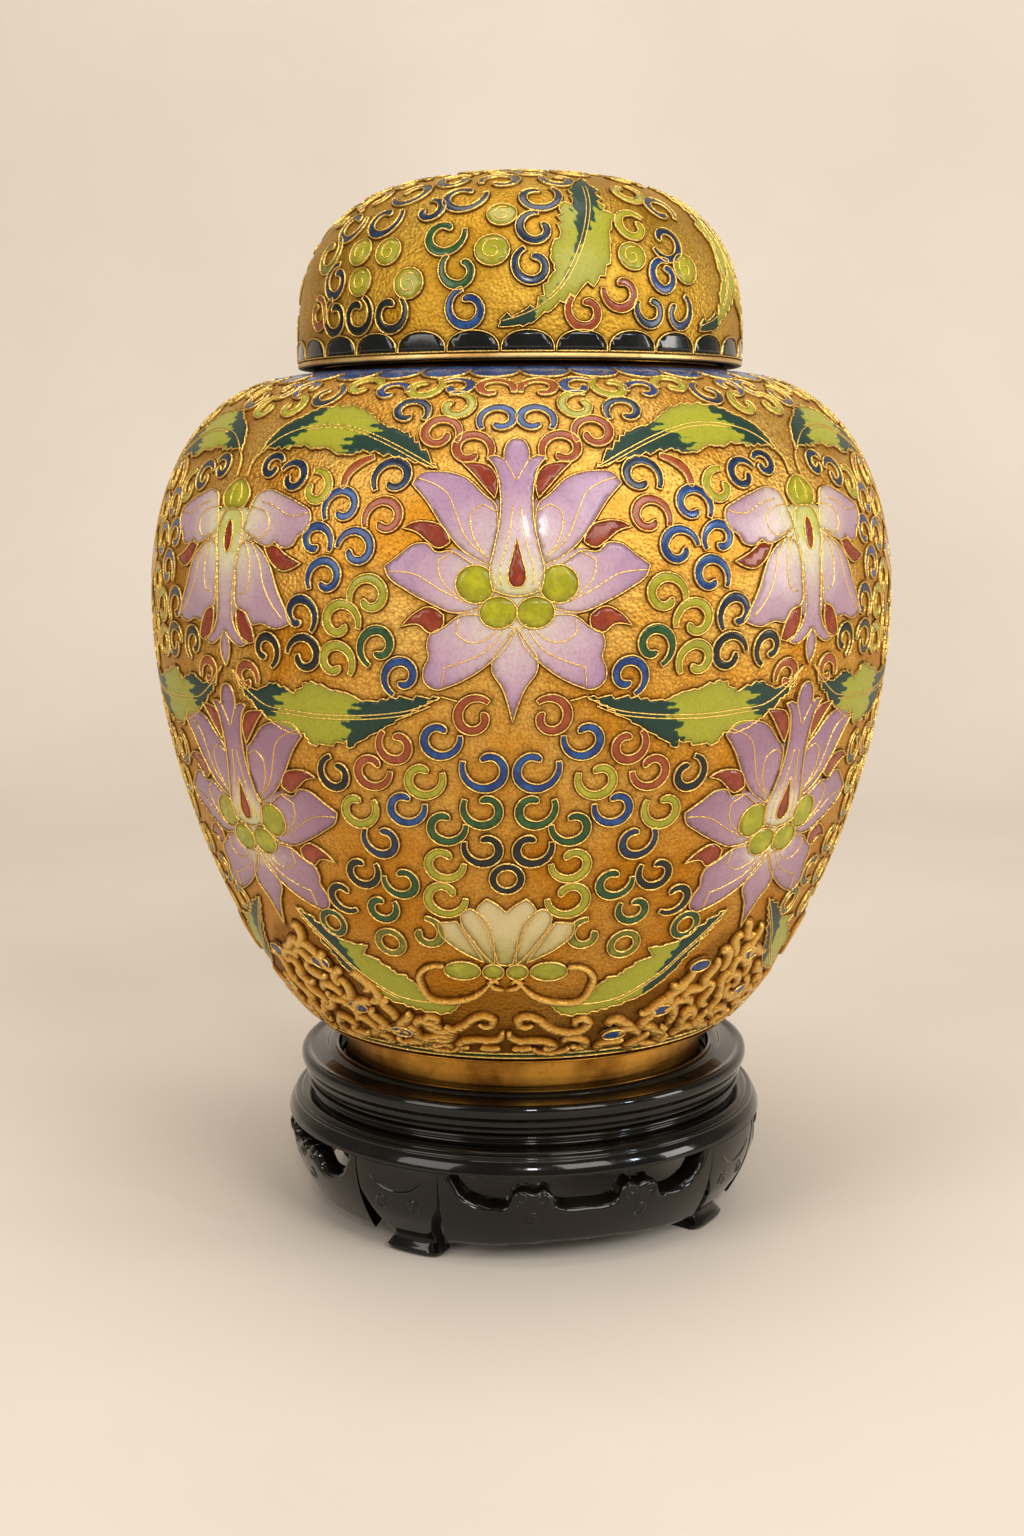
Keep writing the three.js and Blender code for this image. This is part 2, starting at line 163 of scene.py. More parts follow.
def sweep(piece, path, normals, section, closed, width=None, **values):
    """Carries a closed section (across, up), clockwise looking ahead, along a path on a surface.

    The values are one number for each point of the section.
    """
    if closed:
        ahead = np.roll(path, -1, axis=0) - np.roll(path, 1, axis=0)
    else:
        ahead = np.gradient(path, axis=0)
    side = np.cross(ahead, normals)
    side /= np.linalg.norm(side, axis=1, keepdims=True) + 1e-12
    count, ring = len(path), len(section)
    scale = np.ones(count) if width is None else width
    across = scale[:, None] * section[None, :, 0]
    up = np.minimum(1, THIN_RISE + (1 - THIN_RISE) * scale)[:, None] * section[None, :, 1]
    points = path[:, None] + side[:, None] * across[..., None] + normals[:, None] * up[..., None]
    index = np.arange(count * ring).reshape(count, ring)
    beside = np.roll(index, -1, axis=1)
    following, beside_following = np.roll(index, -1, axis=0), np.roll(beside, -1, axis=0)
    quads = np.stack([index, beside, beside_following, following], axis=-1)
    triangles = None
    if not closed:
        quads = quads[:-1]
        fan = np.arange(1, ring - 1)
        start = np.stack([np.zeros_like(fan), fan + 1, fan], axis=-1)
        end = np.stack([np.zeros_like(fan), fan, fan + 1], axis=-1) + (count - 1) * ring
        triangles = np.concatenate([start, end])
    spread = {key: np.tile(value, count) for key, value in values.items()}
    piece.add(points.reshape(-1, 3), quads.reshape(-1, 4), triangles, **spread)


# ---- surfaces of revolution ----
def marks_along(line):
    """Distance along a line at each of its points."""
    return np.concatenate([[0], np.cumsum(np.hypot(*np.diff(line, axis=0).T))])


class Skin:
    """A surface of revolution. A place on it is its azimuth and its distance up the section."""

    def __init__(self, section):
        self.marks = marks_along(section)
        self.length = self.marks[-1]
        self.radii, self.heights = section.T
        slope_r = np.gradient(self.radii, self.marks)
        slope_z = np.gradient(self.heights, self.marks)
        size = np.hypot(slope_r, slope_z)
        self.out, self.rise = slope_z / size, -slope_r / size

    def radius(self, distance):
        return np.maximum(np.interp(distance, self.marks, self.radii), 0.5)

    def facing(self, distance):
        return np.interp(distance, self.marks, self.out), np.interp(distance, self.marks, self.rise)

    def section(self, distance, lift):
        """Radius and height at a distance, lifted off the surface."""
        out, rise = self.facing(distance)
        radius = np.interp(distance, self.marks, self.radii) + lift * out
        return radius, np.interp(distance, self.marks, self.heights) + lift * rise

    def at(self, azimuth, distance, lift=0.0):
        radius, height = self.section(distance, lift)
        return round_axis(radius, np.radians(azimuth), height)

    def normal(self, azimuth, distance):
        out, rise = self.facing(distance)
        found = round_axis(out, np.radians(azimuth), rise)
        return found / np.linalg.norm(found, axis=-1, keepdims=True)


def bezier(start, lead_out, lead_in, end, steps):
    t = np.linspace(0, 1, steps)[:, None]
    points = [np.array(p, float) for p in (start, lead_out, lead_in, end)]
    weights = [(1 - t) ** 3, 3 * t * (1 - t) ** 2, 3 * t ** 2 * (1 - t), t ** 3]
    return sum(w * p for w, p in zip(weights, points))


class Place:
    """Lays a flat drawing on a skin about a point, mirrored for the left-hand copies."""

    def __init__(self, skin, azimuth, distance, mirror=1, turn=0, lean=None):
        self.skin, self.distance, self.mirror, self.lean = skin, distance, mirror, lean
        self.azimuth = mirror * azimuth + turn

    def spread(self, flat):
        distance = self.distance + flat[:, 1]
        azimuth = self.azimuth + np.degrees(flat[:, 0] / self.skin.radius(distance))
        if self.lean:
            azimuth = azimuth + self.lean(distance)
        return azimuth, distance


class CrownPlace(Place):
    """A place near the crown, where the drawing is laid flat as seen from above."""

    def spread(self, flat):
        from_crown = self.skin.length - self.distance
        angle = math.radians(self.azimuth)
        right = np.array([math.cos(angle), math.sin(angle)])
        inward = np.array([-math.sin(angle), math.cos(angle)])
        middle = -inward * from_crown
        points = middle + flat[:, :1] * right + flat[:, 1:] * inward
        azimuth = np.degrees(np.arctan2(points[:, 0], -points[:, 1]))
        return azimuth, self.skin.length - np.hypot(points[:, 0], points[:, 1])


# ---- flat drawing ----
CORNER_DEGREES = 62      # a line that turns by more than this has a sharp corner there
WIRE_STEP = 0.9
SPIRAL_STEPS = 22
SPIRAL_DEPTH = 0.75      # share of its radius by which a spiral draws in


def smooth_line(points, closed=False, step=WIRE_STEP):
    """A curve through the points, with a sharp corner wherever the line turns strongly."""
    points = np.asarray(points, float)
    count = len(points)
    spans = range(count if closed else count - 1)
    chords = np.array([points[(i + 1) % count] - points[i] for i in spans])
    lengths = np.hypot(*chords.T)
    units = chords / lengths[:, None]
    leaving, arriving = [None] * count, [None] * count
    for i in range(count):
        if not closed and i in (0, count - 1):
            continue
        before, after = units[i - 1], units[i % len(units)]
        if np.degrees(np.arccos(np.clip(before @ after, -1, 1))) < CORNER_DEGREES:
            blended = before * lengths[i % len(units)] + after * lengths[i - 1]
            leaving[i] = arriving[i] = blended / np.hypot(*blended)
    line = []
    for i in spans:
        j = (i + 1) % count
        start, end = leaving[i], arriving[j]
        # An end that is free, or at a corner, bends on from the other end.
        if start is None:
            start = units[i] if end is None else 1.5 * units[i] - 0.5 * end
        if end is None:
            end = 1.5 * units[i] - 0.5 * start
        pieces = max(1, round(lengths[i] / step))
        t = (np.arange(pieces) / pieces)[:, None]
        line.append(
            (2 * t ** 3 - 3 * t ** 2 + 1) * points[i]
            + (t ** 3 - 2 * t ** 2 + t) * start * lengths[i]
            + (3 * t ** 2 - 2 * t ** 3) * points[j]
            + (t ** 3 - t ** 2) * end * lengths[i]
        )
    if not closed:
        line.append(points[-1:])
    return np.concatenate(line)


def mirrored_half(points):
    """The right half of an outline, from the centre line back to it, closed with its mirror image."""
    points = np.asarray(points, float)
    inner = [p for p in points[::-1] if p[0] > 1e-6]
    return np.concatenate([points, [(-x, y) for x, y in inner]])


def oval(x, y, across, up, steps=20):
    angle = np.linspace(0, FULL_TURN, steps, endpoint=False)
    return np.stack([x + across * np.cos(angle), y + up * np.sin(angle)], axis=-1)


def spiral(x, y, radius, start, turn_angle):
    t = np.linspace(0, 1, SPIRAL_STEPS)
    angle = np.radians(start + turn_angle * t)
    reach = radius * (1 - SPIRAL_DEPTH * t)
    return np.stack([x + reach * np.cos(angle), y + reach * np.sin(angle)], axis=-1)


def gap(points, line):
    """Distance from each flat point to the nearest point of a line."""
    return np.min(np.hypot(*(points[:, None] - line[None]).transpose(2, 0, 1)), axis=1)


# ---- wires and enamel ----
GROUND = -0.42           # gilt ground, below the polished face of the wires
ENAMEL_TOP = 0.0
ENAMEL_FLOOR = -0.9
WIRE_TOP = 0.3
WIRE_HALF = 0.19
FILLET = 0.55            # solder lies in the corner beside each wire, darkened by patina and painted shade
ENAMEL_LEVELS = 12       # neighbouring cells stand at slightly different heights
LEVEL_STEP = 0.004
DOME_REACH = 1.4         # mm from its wire over which the enamel rises to its dome
EDGE_REACH = 0.8         # mm from its wire over which the enamel is darkened
SLIVER = 1e-9            # a triangle of less area than this is left out
ROW_APART = 0.87         # rows of points inside a cell, against their spacing along a row
RIM_CLEAR = 0.5          # share of the spacing that is kept clear of points along its line

WIRE_SECTION = np.array([
    (-WIRE_HALF - FILLET, GROUND - 0.06),
    (-WIRE_HALF - 0.14, GROUND + 0.05),
    (-WIRE_HALF, GROUND + 0.3),
    (-WIRE_HALF * 0.6, WIRE_TOP - 0.06),
    (0, WIRE_TOP),
    (WIRE_HALF * 0.6, WIRE_TOP - 0.06),
    (WIRE_HALF, GROUND + 0.3),
    (WIRE_HALF + 0.14, GROUND + 0.05),
    (WIRE_HALF + FILLET, GROUND - 0.06),
    (0, GROUND - 0.5),
])
# Patina and painted shade in the corners beside a wire, kept as crevice.
WIRE_CREVICE = np.array([0.1, 1.0, 0.75, 0.0, 0.0, 0.0, 0.75, 1.0, 0.1, 0.0])
# Polished top of a wire, with a painted highlight.
WIRE_POLISH_HIGHLIGHT = np.array([0.0, 0.0, 0.5, 1.0, 1.0, 1.0, 0.5, 0.0, 0.0, 0.0])


class Ornament:
    """The wires and enamels of one body, with the wire places kept for the patina and painted shade on
    the ground beside them.
    """

    def __init__(self):
        self.pieces = {}
        self.traces = []
        self.level = 0

    def piece(self, name):
        return self.pieces.setdefault(name, Piece())

    def swept(self, name, place, line, section, closed, width=None, lift=0.0, **values):
        """Sweeps a section along a line drawn flat at a place, and gives the path on the skin."""
        azimuth, distance = place.spread(line * (place.mirror, 1))
        path = place.skin.at(azimuth, distance, lift)
        normals = place.skin.normal(azimuth, distance)
        sweep(self.piece(name), path, normals, section, closed, width, **values)
        return path

    def wire(self, place, line, closed, name, lift=0.0):
        self.traces.append(self.swept(name, place, line, WIRE_SECTION, closed, None, lift,
                                      crevice=WIRE_CREVICE, polish=WIRE_POLISH_HIGHLIGHT))

    def fill(self, place, line, name, shade=None, spacing=1.3, dome=0.07, top=ENAMEL_TOP):
        """A closed slab of enamel inside a closed line, domed away from its wires."""
        self.level = (self.level + 1) % ENAMEL_LEVELS
        flat = line * (place.mirror, 1)
        corners, triangles = triangulated(flat, spacing)
        away = gap(corners, flat)
        lift = top + LEVEL_STEP * self.level + dome * (1 - np.exp(-away / DOME_REACH))
        azimuth, distance = place.spread(corners)
        upper = place.skin.at(azimuth, distance, lift)
        lower = place.skin.at(azimuth, distance, ENAMEL_FLOOR)
        tone = 0.0 if shade is None else shade(corners * (place.mirror, 1))
        tone = np.broadcast_to(tone, (len(corners),))
        close_slab(self.piece(name), upper, lower, triangles, shade=np.tile(tone, 2),
                   edge=np.tile(np.exp(-away / EDGE_REACH), 2))

    def cell(self, place, outline, name, wires, lift=0.0, **look):
        """An enamelled cell with a wire round it."""
        line = smooth_line(outline, closed=True)
        self.fill(place, line, name, top=ENAMEL_TOP + lift, **look)
        self.wire(place, line, True, wires, lift)


def rim_edges(line):
    return [(i, (i + 1) % len(line)) for i in range(len(line))]


def anticlockwise(corners, triangles):
    """Flat triangles that all turn the same way, without the ones that have no area."""
    a, b, c = (corners[triangles[:, i]] for i in range(3))
    turn = (b[:, 0] - a[:, 0]) * (c[:, 1] - a[:, 1]) - (b[:, 1] - a[:, 1]) * (c[:, 0] - a[:, 0])
    facing_down = turn < 0
    triangles[facing_down] = triangles[facing_down][:, ::-1]
    return triangles[np.abs(turn) > SLIVER]


def triangulated(line, spacing):
    """Corners and anticlockwise triangles that fill a closed flat line, with points inside it."""
    low, high = line.min(axis=0), line.max(axis=0)
    columns = np.arange(low[0], high[0] + spacing, spacing)
    rows = np.arange(low[1], high[1] + spacing, spacing * ROW_APART)
    grid = np.array([(x + spacing / 2 * (j % 2), y) for j, y in enumerate(rows) for x in columns])
    grid = grid[(gap(grid, line) > spacing * RIM_CLEAR) & inside(grid, line)]
    points = [Vector(p) for p in np.concatenate([line, grid])]
    found = geometry.delaunay_2d_cdt(points, rim_edges(line), [], 0, 1e-5)
    corners = np.array([tuple(p) for p in found[0]])
    triangles = np.array([face for face in found[2] if len(face) == 3])
    triangles = anticlockwise(corners, triangles[inside(corners[triangles].mean(axis=1), line)])
    used, packed = np.unique(triangles.ravel(), return_inverse=True)
    return corners[used], packed.reshape(-1, 3)


def inside(points, line):
    """Whether each point is inside a closed flat line."""
    x, y = points[:, :1], points[:, 1:]
    x1, y1 = line[:, 0], line[:, 1]
    x2, y2 = np.roll(x1, -1), np.roll(y1, -1)
    crosses = (y1 > y) != (y2 > y)
    rise = np.where(y2 == y1, 1e-12, y2 - y1)
    return (crosses & (x < (x2 - x1) * (y - y1) / rise + x1)).sum(axis=1) % 2 == 1


def close_slab(piece, upper, lower, triangles, **values):
    """Joins an upper and a lower sheet with the same triangles along their rim."""
    count = len(upper)
    sides = np.concatenate([triangles[:, [0, 1]], triangles[:, [1, 2]], triangles[:, [2, 0]]])
    keys = np.sort(sides, axis=1)
    _, index, uses = np.unique(keys, axis=0, return_index=True, return_counts=True)
    rim = sides[index[uses == 1]]
    walls = np.stack([rim[:, 1], rim[:, 0], rim[:, 0] + count, rim[:, 1] + count], axis=-1)
    faces = np.concatenate([triangles, triangles[:, ::-1] + count])
    piece.add(np.concatenate([upper, lower]), walls, faces, **values)


# ---- scrolls ----
BAND_HALF = 1.08         # from the middle of a scroll's enamel to the middle of its wire
HOOK_FROM = 0.52         # share of a scroll after which it curls in
TAIL_SHARE = 0.3         # share of a scroll that flares out as its tail
SCROLL_EASE = 1.5        # how gently the hook and the tail leave the circle
SCROLL_STEP = 48         # degrees times mm between two points of a scroll
# How strongly a scroll curls in at its hook, flares at its tail, and how much further it turns.
OPEN_SCROLL = (0.56, 0.08, 1.1)
CURLED_SCROLL = (0.62, 0.2, 1.16)

BAND_SECTION = np.array([
    (-BAND_HALF, ENAMEL_FLOOR),
    (-BAND_HALF, ENAMEL_TOP - 0.04),
    (-BAND_HALF * 0.4, ENAMEL_TOP + 0.05),
    (BAND_HALF * 0.4, ENAMEL_TOP + 0.05),
    (BAND_HALF, ENAMEL_TOP - 0.04),
    (BAND_HALF, ENAMEL_FLOOR),
])
# Where a band's enamel is darker, next to its wires.
BAND_EDGE = np.array([1, 1, 0.1, 0.1, 1, 1.0])
# Share of a band's full width along it: narrow at the tail, full past the middle, round at the hook.
BAND_WIDTH = ([0, 0.14, 0.42, 0.8, 0.93, 1], [0.58, 0.82, 1.1, 0.9, 0.92, 0.62])
BAND_CAP = 0.45
RING_WIDTH = 0.85
RING_STEPS = 26


def scroll_line(radius, tail, sweep_angle, manner=CURLED_SCROLL):
    """Middle line of a C scroll about its own centre, from its tail to its curled hook."""
    depth, flare, further = manner
    steps = max(12, round(abs(sweep_angle) * radius / SCROLL_STEP))
    t = np.linspace(0, 1, steps)
    angle = np.radians(tail + further * sweep_angle * t)
    curl = np.clip((t - HOOK_FROM) / (1 - HOOK_FROM), 0, 1) ** SCROLL_EASE
    tail_part = np.clip(1 - t / TAIL_SHARE, 0, 1) ** SCROLL_EASE
    reach = radius * (1 - depth * curl + flare * tail_part)
    return np.stack([reach * np.cos(angle), reach * np.sin(angle)], axis=-1)


def along(line, marks, values):
    """A value at each point of a line, from its values at some shares of the line."""
    return np.interp(np.linspace(0, 1, len(line)), marks, values)


def band(ornament, place, line, name, wires):
    """An enamelled band along an open line, with a wire all round it."""
    width = along(line, *BAND_WIDTH)
    ahead = np.gradient(line, axis=0)
    ahead /= np.hypot(*ahead.T)[:, None] + 1e-12
    side = np.stack([-ahead[:, 1], ahead[:, 0]], axis=-1) * (BAND_HALF * width)[:, None]
    cap = line[-1] + ahead[-1] * BAND_HALF * BAND_CAP
    edge = np.concatenate([line + side, [cap], (line - side)[::-1]])
    ornament.swept(name, place, line, BAND_SECTION, False, width, edge=BAND_EDGE)
    ornament.wire(place, edge, True, wires)


def ring_band(ornament, place, radius, name, wires):
    """A closed ring of enamel between two wires."""
    line = oval(0, 0, radius, radius, RING_STEPS)
    width = np.full(len(line), RING_WIDTH)
    ornament.swept(name, place, line, BAND_SECTION, True, width, edge=BAND_EDGE)
    for edge in (radius - BAND_HALF * RING_WIDTH, radius + BAND_HALF * RING_WIDTH):
        ornament.wire(place, oval(0, 0, edge, edge, RING_STEPS), True, wires)


# ---- jar: skin and repeat ----
BASE_EDGE = (59.5, 56.5)
BELLY = (102, 172.7)
SHOULDER = (57.5, 233.6)
BELLY_ROWS = 240
belly_curve = bezier(BASE_EDGE, (79.3, 73.9), (102, 126.3), BELLY, BELLY_ROWS)
shoulder_curve = bezier(BELLY, (102, 208.4), (86.2, SHOULDER[1]), SHOULDER, 180)
jar_skin = Skin(np.concatenate([belly_curve, shoulder_curve[1:]]))


LEAN_BELOW = 130


def jar_lean(distance):
    """The pattern drifts a little to the left towards the foot, degrees."""
    return -0.5 - 0.028 * np.maximum(0, LEAN_BELOW - distance)


def jar_places(azimuth, distance, mirrors=SIDES):
    """The places of one drawing on the body: four times round, and mirrored."""
    for turn in QUARTERS:
        for mirror in mirrors:
            yield Place(jar_skin, azimuth, distance, mirror, turn, jar_lean)


jar = Ornament()

# ---- jar: lotus ----
LOTUS_COLUMN = [
    (0, 0.8), (5.6, 2.2), (6.3, 6.3), (5.2, 11.9), (4, 17.9), (3.7, 23.5), (4.2, 28.1), (5.2, 31.4),
    (6.9, 33.5), (4.5, 33.9), (2.9, 32.9), (2.8, 35.6), (1.7, 37.9), (0, 38.6),
]
LOTUS_COLUMN_WIRE = [(3.6, 3.4), (3.9, 6.5), (2.6, 11.5), (1.5, 16.5), (0.9, 21.5)]
LOTUS_BUD_WIRE = [(0.2, 27.7), (1.4, 30.4), (2.9, 33)]
LOTUS_HEART = [(0, 2.8), (1.5, 3.4), (2.1, 5.3), (1.4, 8.8), (0, 14.2)]
LOTUS_SEEDS = [(9.6, 3.6, 4.6, 4.4), (4.3, -2.9, 4.4, 3.7)]
LOTUS_BED = [(0, 24), (4.9, 23), (6.4, 15), (11.5, 11.5), (15.5, 12), (15.5, 0), (13, -4.5),
             (7, -6.5), (3, -10), (0, -10)]
# Petals from the back to the front: outline, then the wires drawn inside it.
LOTUS_PETALS = [
    ([(6.3, 7.9), (12.2, 11.4), (16.8, 17), (20.9, 23.5), (23.9, 27), (21.6, 29.8), (17.7, 30.2),
      (11.8, 28.8), (7.2, 24.4), (4.9, 22.3), (4.2, 17.9), (5.6, 10)],
     [[(22.8, 28.6), (15.4, 24.4), (13.6, 19.8), (11.3, 14.2), (7, 10.2)],
      [(4.7, 20.5), (7.4, 22.1), (10, 20.2), (10.2, 16.5), (8.6, 12.3), (6.5, 9.5)]]),
    ([(8.6, -2.1), (14.1, -3), (20, -0.7), (25.5, 2.3), (29.6, 5.3), (30.5, 7.7), (27.3, 10),
      (22.8, 13), (20, 12.8), (18.6, 11.2), (14.5, 11.2), (11.8, 9.5), (9, 7.4)],
     [[(29.6, 6.5), (23.2, 5.8), (17.7, 2.6), (11.8, -0.5)],
      [(14.1, 11.2), (17.7, 9.1), (17.5, 5.8), (15.4, 2.6), (11.1, 0)]]),
    ([(7.2, -3.7), (13.6, -4), (16.4, -6.3), (19.6, -8.1), (20.2, -10.9), (19.7, -13.3),
      (20.8, -16), (20.5, -19.3), (17.3, -21.1), (15.4, -20.5), (10, -17.9), (4.7, -13.7),
      (1.3, -9.5), (0.3, -6.7)],
     [[(2.7, -6.7), (5.4, -10.7), (11.8, -14.4), (15.9, -15.6), (16.4, -20.2)],
      [(4, -6.3), (6.3, -8.8), (10.4, -9.8), (13.6, -7.7), (13.2, -4.4)]]),
]
LOTUS_BOTTOM_PETAL = [(0, -6.2), (2.2, -9.2), (5, -13.3), (5.4, -15.6), (2.5, -21), (0, -28.8)]
LOTUS_LEAFLETS = [
    [(4.9, 23.5), (4.4, 28.6), (6.3, 31.6), (9.5, 32.4), (12.5, 32.5), (10, 29.8), (7.2, 26.3)],
    [(15, 13.3), (16.8, 17), (20, 18.1), (23.7, 17.9), (26.2, 16.5), (22.8, 15.6), (20.5, 13.7),
     (17.7, 11.9)],
    [(16.6, -3.5), (20, -1.6), (23.2, -3), (26.4, -6.3), (22.3, -5.8), (19.6, -7.7), (16.8, -6.3)],
]
LOTUS_SPREAD = (1.03, 1)
COLUMN_LIFT = 0.34       # the column lies over the petals and seeds
HEART_LIFT = 0.46
SEED_LIFT = 0.22
FULL_DOME, SEED_DOME = 0.12, 0.2
BED_TOP = -0.08          # pale enamel behind the petals, a little lower than they are


def petal_shade(flat, heart, start, reach, squash=1.0):
    """0 up to start mm from a flower's heart, which is some mm up, and 1 from reach mm further out."""
    return np.clip((np.hypot(flat[:, 0], squash * (flat[:, 1] - heart)) - start) / reach, 0, 1)


def lotus_shade(flat):
    return petal_shade(flat, 1, 5, 22)


def flower_places(azimuth, distance, turn):
    """The middle of a flower, and its right and left halves."""
    middle = Place(jar_skin, azimuth, distance, 1, turn, jar_lean)
    return middle, [Place(jar_skin, mirror * azimuth, distance, mirror, turn, jar_lean)
                    for mirror in SIDES]


def draw_petal(half, petal, name, wires, shade, spread=(1, 1)):
    outline, veins = petal
    jar.cell(half, np.multiply(outline, spread), name, wires, shade=shade)
    for vein in veins:
        jar.wire(half, smooth_line(np.multiply(vein, spread)), False, wires)


def draw_bed(middle, half_outline, name, shade):
    jar.fill(middle, smooth_line(mirrored_half(half_outline), True), name, shade, top=BED_TOP)


def draw_middle(middle, half_outline, name, wires, lift=0.0, **look):
    jar.cell(middle, mirrored_half(half_outline), name, wires, lift, **look)


def draw_lotus(azimuth, distance, turn, name):
    wires = name.replace("petals", "wires")
    middle, halves = flower_places(azimuth, distance, turn)
    for leaflet in LOTUS_LEAFLETS:
        for half in halves:
            jar.cell(half, np.multiply(leaflet, LOTUS_SPREAD), "red", wires)
    draw_bed(middle, LOTUS_BED, name, lotus_shade)
    for petal in LOTUS_PETALS:
        for half in halves:
            draw_petal(half, petal, name, wires, lotus_shade, LOTUS_SPREAD)
    draw_middle(middle, LOTUS_BOTTOM_PETAL, name, wires, shade=lotus_shade)
    for half in halves:
        for seed in LOTUS_SEEDS:
            jar.cell(half, oval(*seed), "lime_seeds", wires, SEED_LIFT, dome=SEED_DOME)
    draw_middle(middle, LOTUS_COLUMN, name, wires, COLUMN_LIFT, shade=lotus_shade, dome=FULL_DOME)
    draw_middle(middle, LOTUS_HEART, "red", wires, HEART_LIFT)
    for half in halves:
        for line in (LOTUS_COLUMN_WIRE, LOTUS_BUD_WIRE):
            jar.wire(half, smooth_line(line), False, wires, COLUMN_LIFT)


# ---- jar: hanging blossom ----
BLOSSOM_BUD = [(0, 21.3), (3.5, 19.5), (5.2, 16.5), (3.8, 14), (0, 13.5)]
BLOSSOM_BUD_WIRE = [(0.6, 20), (1.9, 17.5), (1.6, 14.6)]
# The wing above and the skirt below: outline, then the wires drawn inside it.
BLOSSOM_PETALS = [
    ([(6.5, 13.7), (8.3, 17.4), (11.3, 18.3), (17.2, 16.9), (22.7, 14.8), (26, 13), (26, 8.2),
      (23.6, 6.8), (22.7, 5), (18.6, 4.3), (16.8, 5.5), (14.9, 4.3), (12.2, 4.8), (8.1, 6.4),
      (4.9, 8)],
     [[(25.4, 12.6), (20.4, 11.9), (14.9, 14.2), (10.4, 15.3)],
      [(5.3, 13.7), (9.9, 13.5), (13.3, 11.9), (14, 8.7), (12.2, 6.6), (7.4, 7.4)]]),
    ([(6.7, 5.9), (11.7, 4.1), (15.4, 0.5), (18.6, -5.9), (21.3, -10.5), (23.4, -13.7),
      (17.7, -15.3), (13.6, -14.2), (10.3, -14.6), (8.1, -11.9), (4.7, -10.5), (4, -4.6), (4.7, 4)],
     [[(8.5, 5.9), (12.2, 0.9), (14, -4.6), (16.8, -9.1), (20.4, -12.8)],
      [(5.8, 6.4), (8.5, 2.3), (9.2, -2.3), (7.9, -6.8), (5.8, -7.3)]]),
]
BLOSSOM_HOOD = [
    (0, 13.6), (3.2, 12.8), (4.8, 9.5), (4.6, 4), (3.6, -2), (3, -9), (3.2, -13.5), (5.2, -17),
    (9, -19), (6, -20.2), (2.6, -18.8), (0, -16.5),
]
BLOSSOM_BED = [(0, 14), (6, 13), (9, 6.5), (9, 2), (5.5, -8), (3, -14), (0, -16)]
BLOSSOM_DROP = [(0, -16.5), (1.8, -19.5), (1.6, -22.5), (0, -25.5)]
BLOSSOM_HEART = (0, 6.6, 1.6, 4)
BLOSSOM_HEART_LIFT = 0.14
BLOSSOM_LEAFLETS = [
    [(25.4, 0.5), (20.4, 2.7), (17.2, 4.6), (13.6, 4.3), (16.3, 0.5), (20, -1.4), (22.7, -0.9)],
    [(4.7, -11), (7.2, -11.4), (10.4, -15.5), (11.3, -18.7), (8.1, -19.2), (4.9, -15)],
]


def blossom_shade(flat):
    return petal_shade(flat, 10, 4, 18, 0.8)


def draw_blossom(azimuth, distance, turn, name):
    wires = name.replace("petals", "wires")
    middle, halves = flower_places(azimuth, distance, turn)
    draw_bed(middle, BLOSSOM_BED, name, blossom_shade)
    for half in halves:
        for leaflet in BLOSSOM_LEAFLETS:
            jar.cell(half, leaflet, "red", wires)
        for petal in BLOSSOM_PETALS:
            draw_petal(half, petal, name, wires, blossom_shade)
    draw_middle(middle, BLOSSOM_DROP, name, wires, shade=blossom_shade)
    draw_middle(middle, BLOSSOM_HOOD, name, wires, shade=blossom_shade, dome=FULL_DOME)
    draw_middle(middle, BLOSSOM_BUD, "lime_seeds", wires)
    for half in halves:
        jar.wire(half, smooth_line(BLOSSOM_BUD_WIRE), False, wires)
    jar.cell(middle, oval(*BLOSSOM_HEART), "red", wires, BLOSSOM_HEART_LIFT)


# ---- jar: half flower near the foot ----
HALF_FLOWER_AT = 42
HALF_FLOWER_PETALS = [
    [(12.1, 8.8), (16.8, 8.4), (16.6, 5.4), (13, 1.1), (8.2, -2.1), (5.2, -3.6)],
    [(7.4, 12), (8.7, 12.7), (11, 11.2), (10.8, 7.9), (7.8, 2.8), (4.4, -2.4), (2.7, -4.3)],
]
HALF_FLOWER_HEART = [(0, -4.6), (1.8, -4.1), (2.2, -1.9), (3.9, 3.6), (5.2, 7.5), (7.2, 12.7),
                     (4.8, 15.7), (2.2, 14), (0, 11.8)]
HALF_FLOWER_BED = [(0, 10), (6, 11), (9, 10), (12, 7.5), (13.5, 3), (7, -2), (3, -4.6), (0, -4.8)]
HALF_FLOWER_SEPALS = [(10.8, -6.7, 4.7, 3), (3, -6.8, 2.7, 2.5)]
# A lobe and a curl of raised gold, with the widths of their strands.
HALF_FLOWER_RELIEF = [
    ([(3.9, -10.9), (7, -14.8), (13, -17.4), (19, -17), (21.5, -12.7), (22, -9.2), (19, -5.8),
      (15.5, -5.4)], 0.95),
    ([(0.4, -12.6), (2.6, -12.2), (4, -10.4), (2.6, -9.4), (1.6, -10.4)], 0.7),
]


def half_flower_shade(flat):
    """0 at the foot of the petals, 1 towards their tips."""
    return np.clip((flat[:, 1] + 5) / 14, 0, 1)


def draw_half_flower(turn):
    middle, halves = flower_places(0, HALF_FLOWER_AT, turn)
    draw_bed(middle, HALF_FLOWER_BED, "cream", half_flower_shade)
    look = {"name": "cream", "wires": "flower_wires", "shade": half_flower_shade}
    for half in halves:
        for sepal in HALF_FLOWER_SEPALS:
            jar.cell(half, oval(*sepal), "lime", "flower_wires")
        for petal in HALF_FLOWER_PETALS:
            jar.cell(half, petal, **look)
        for line, width in HALF_FLOWER_RELIEF:
            relief(half, smooth_line(line), width)
    draw_middle(middle, HALF_FLOWER_HEART, **look)


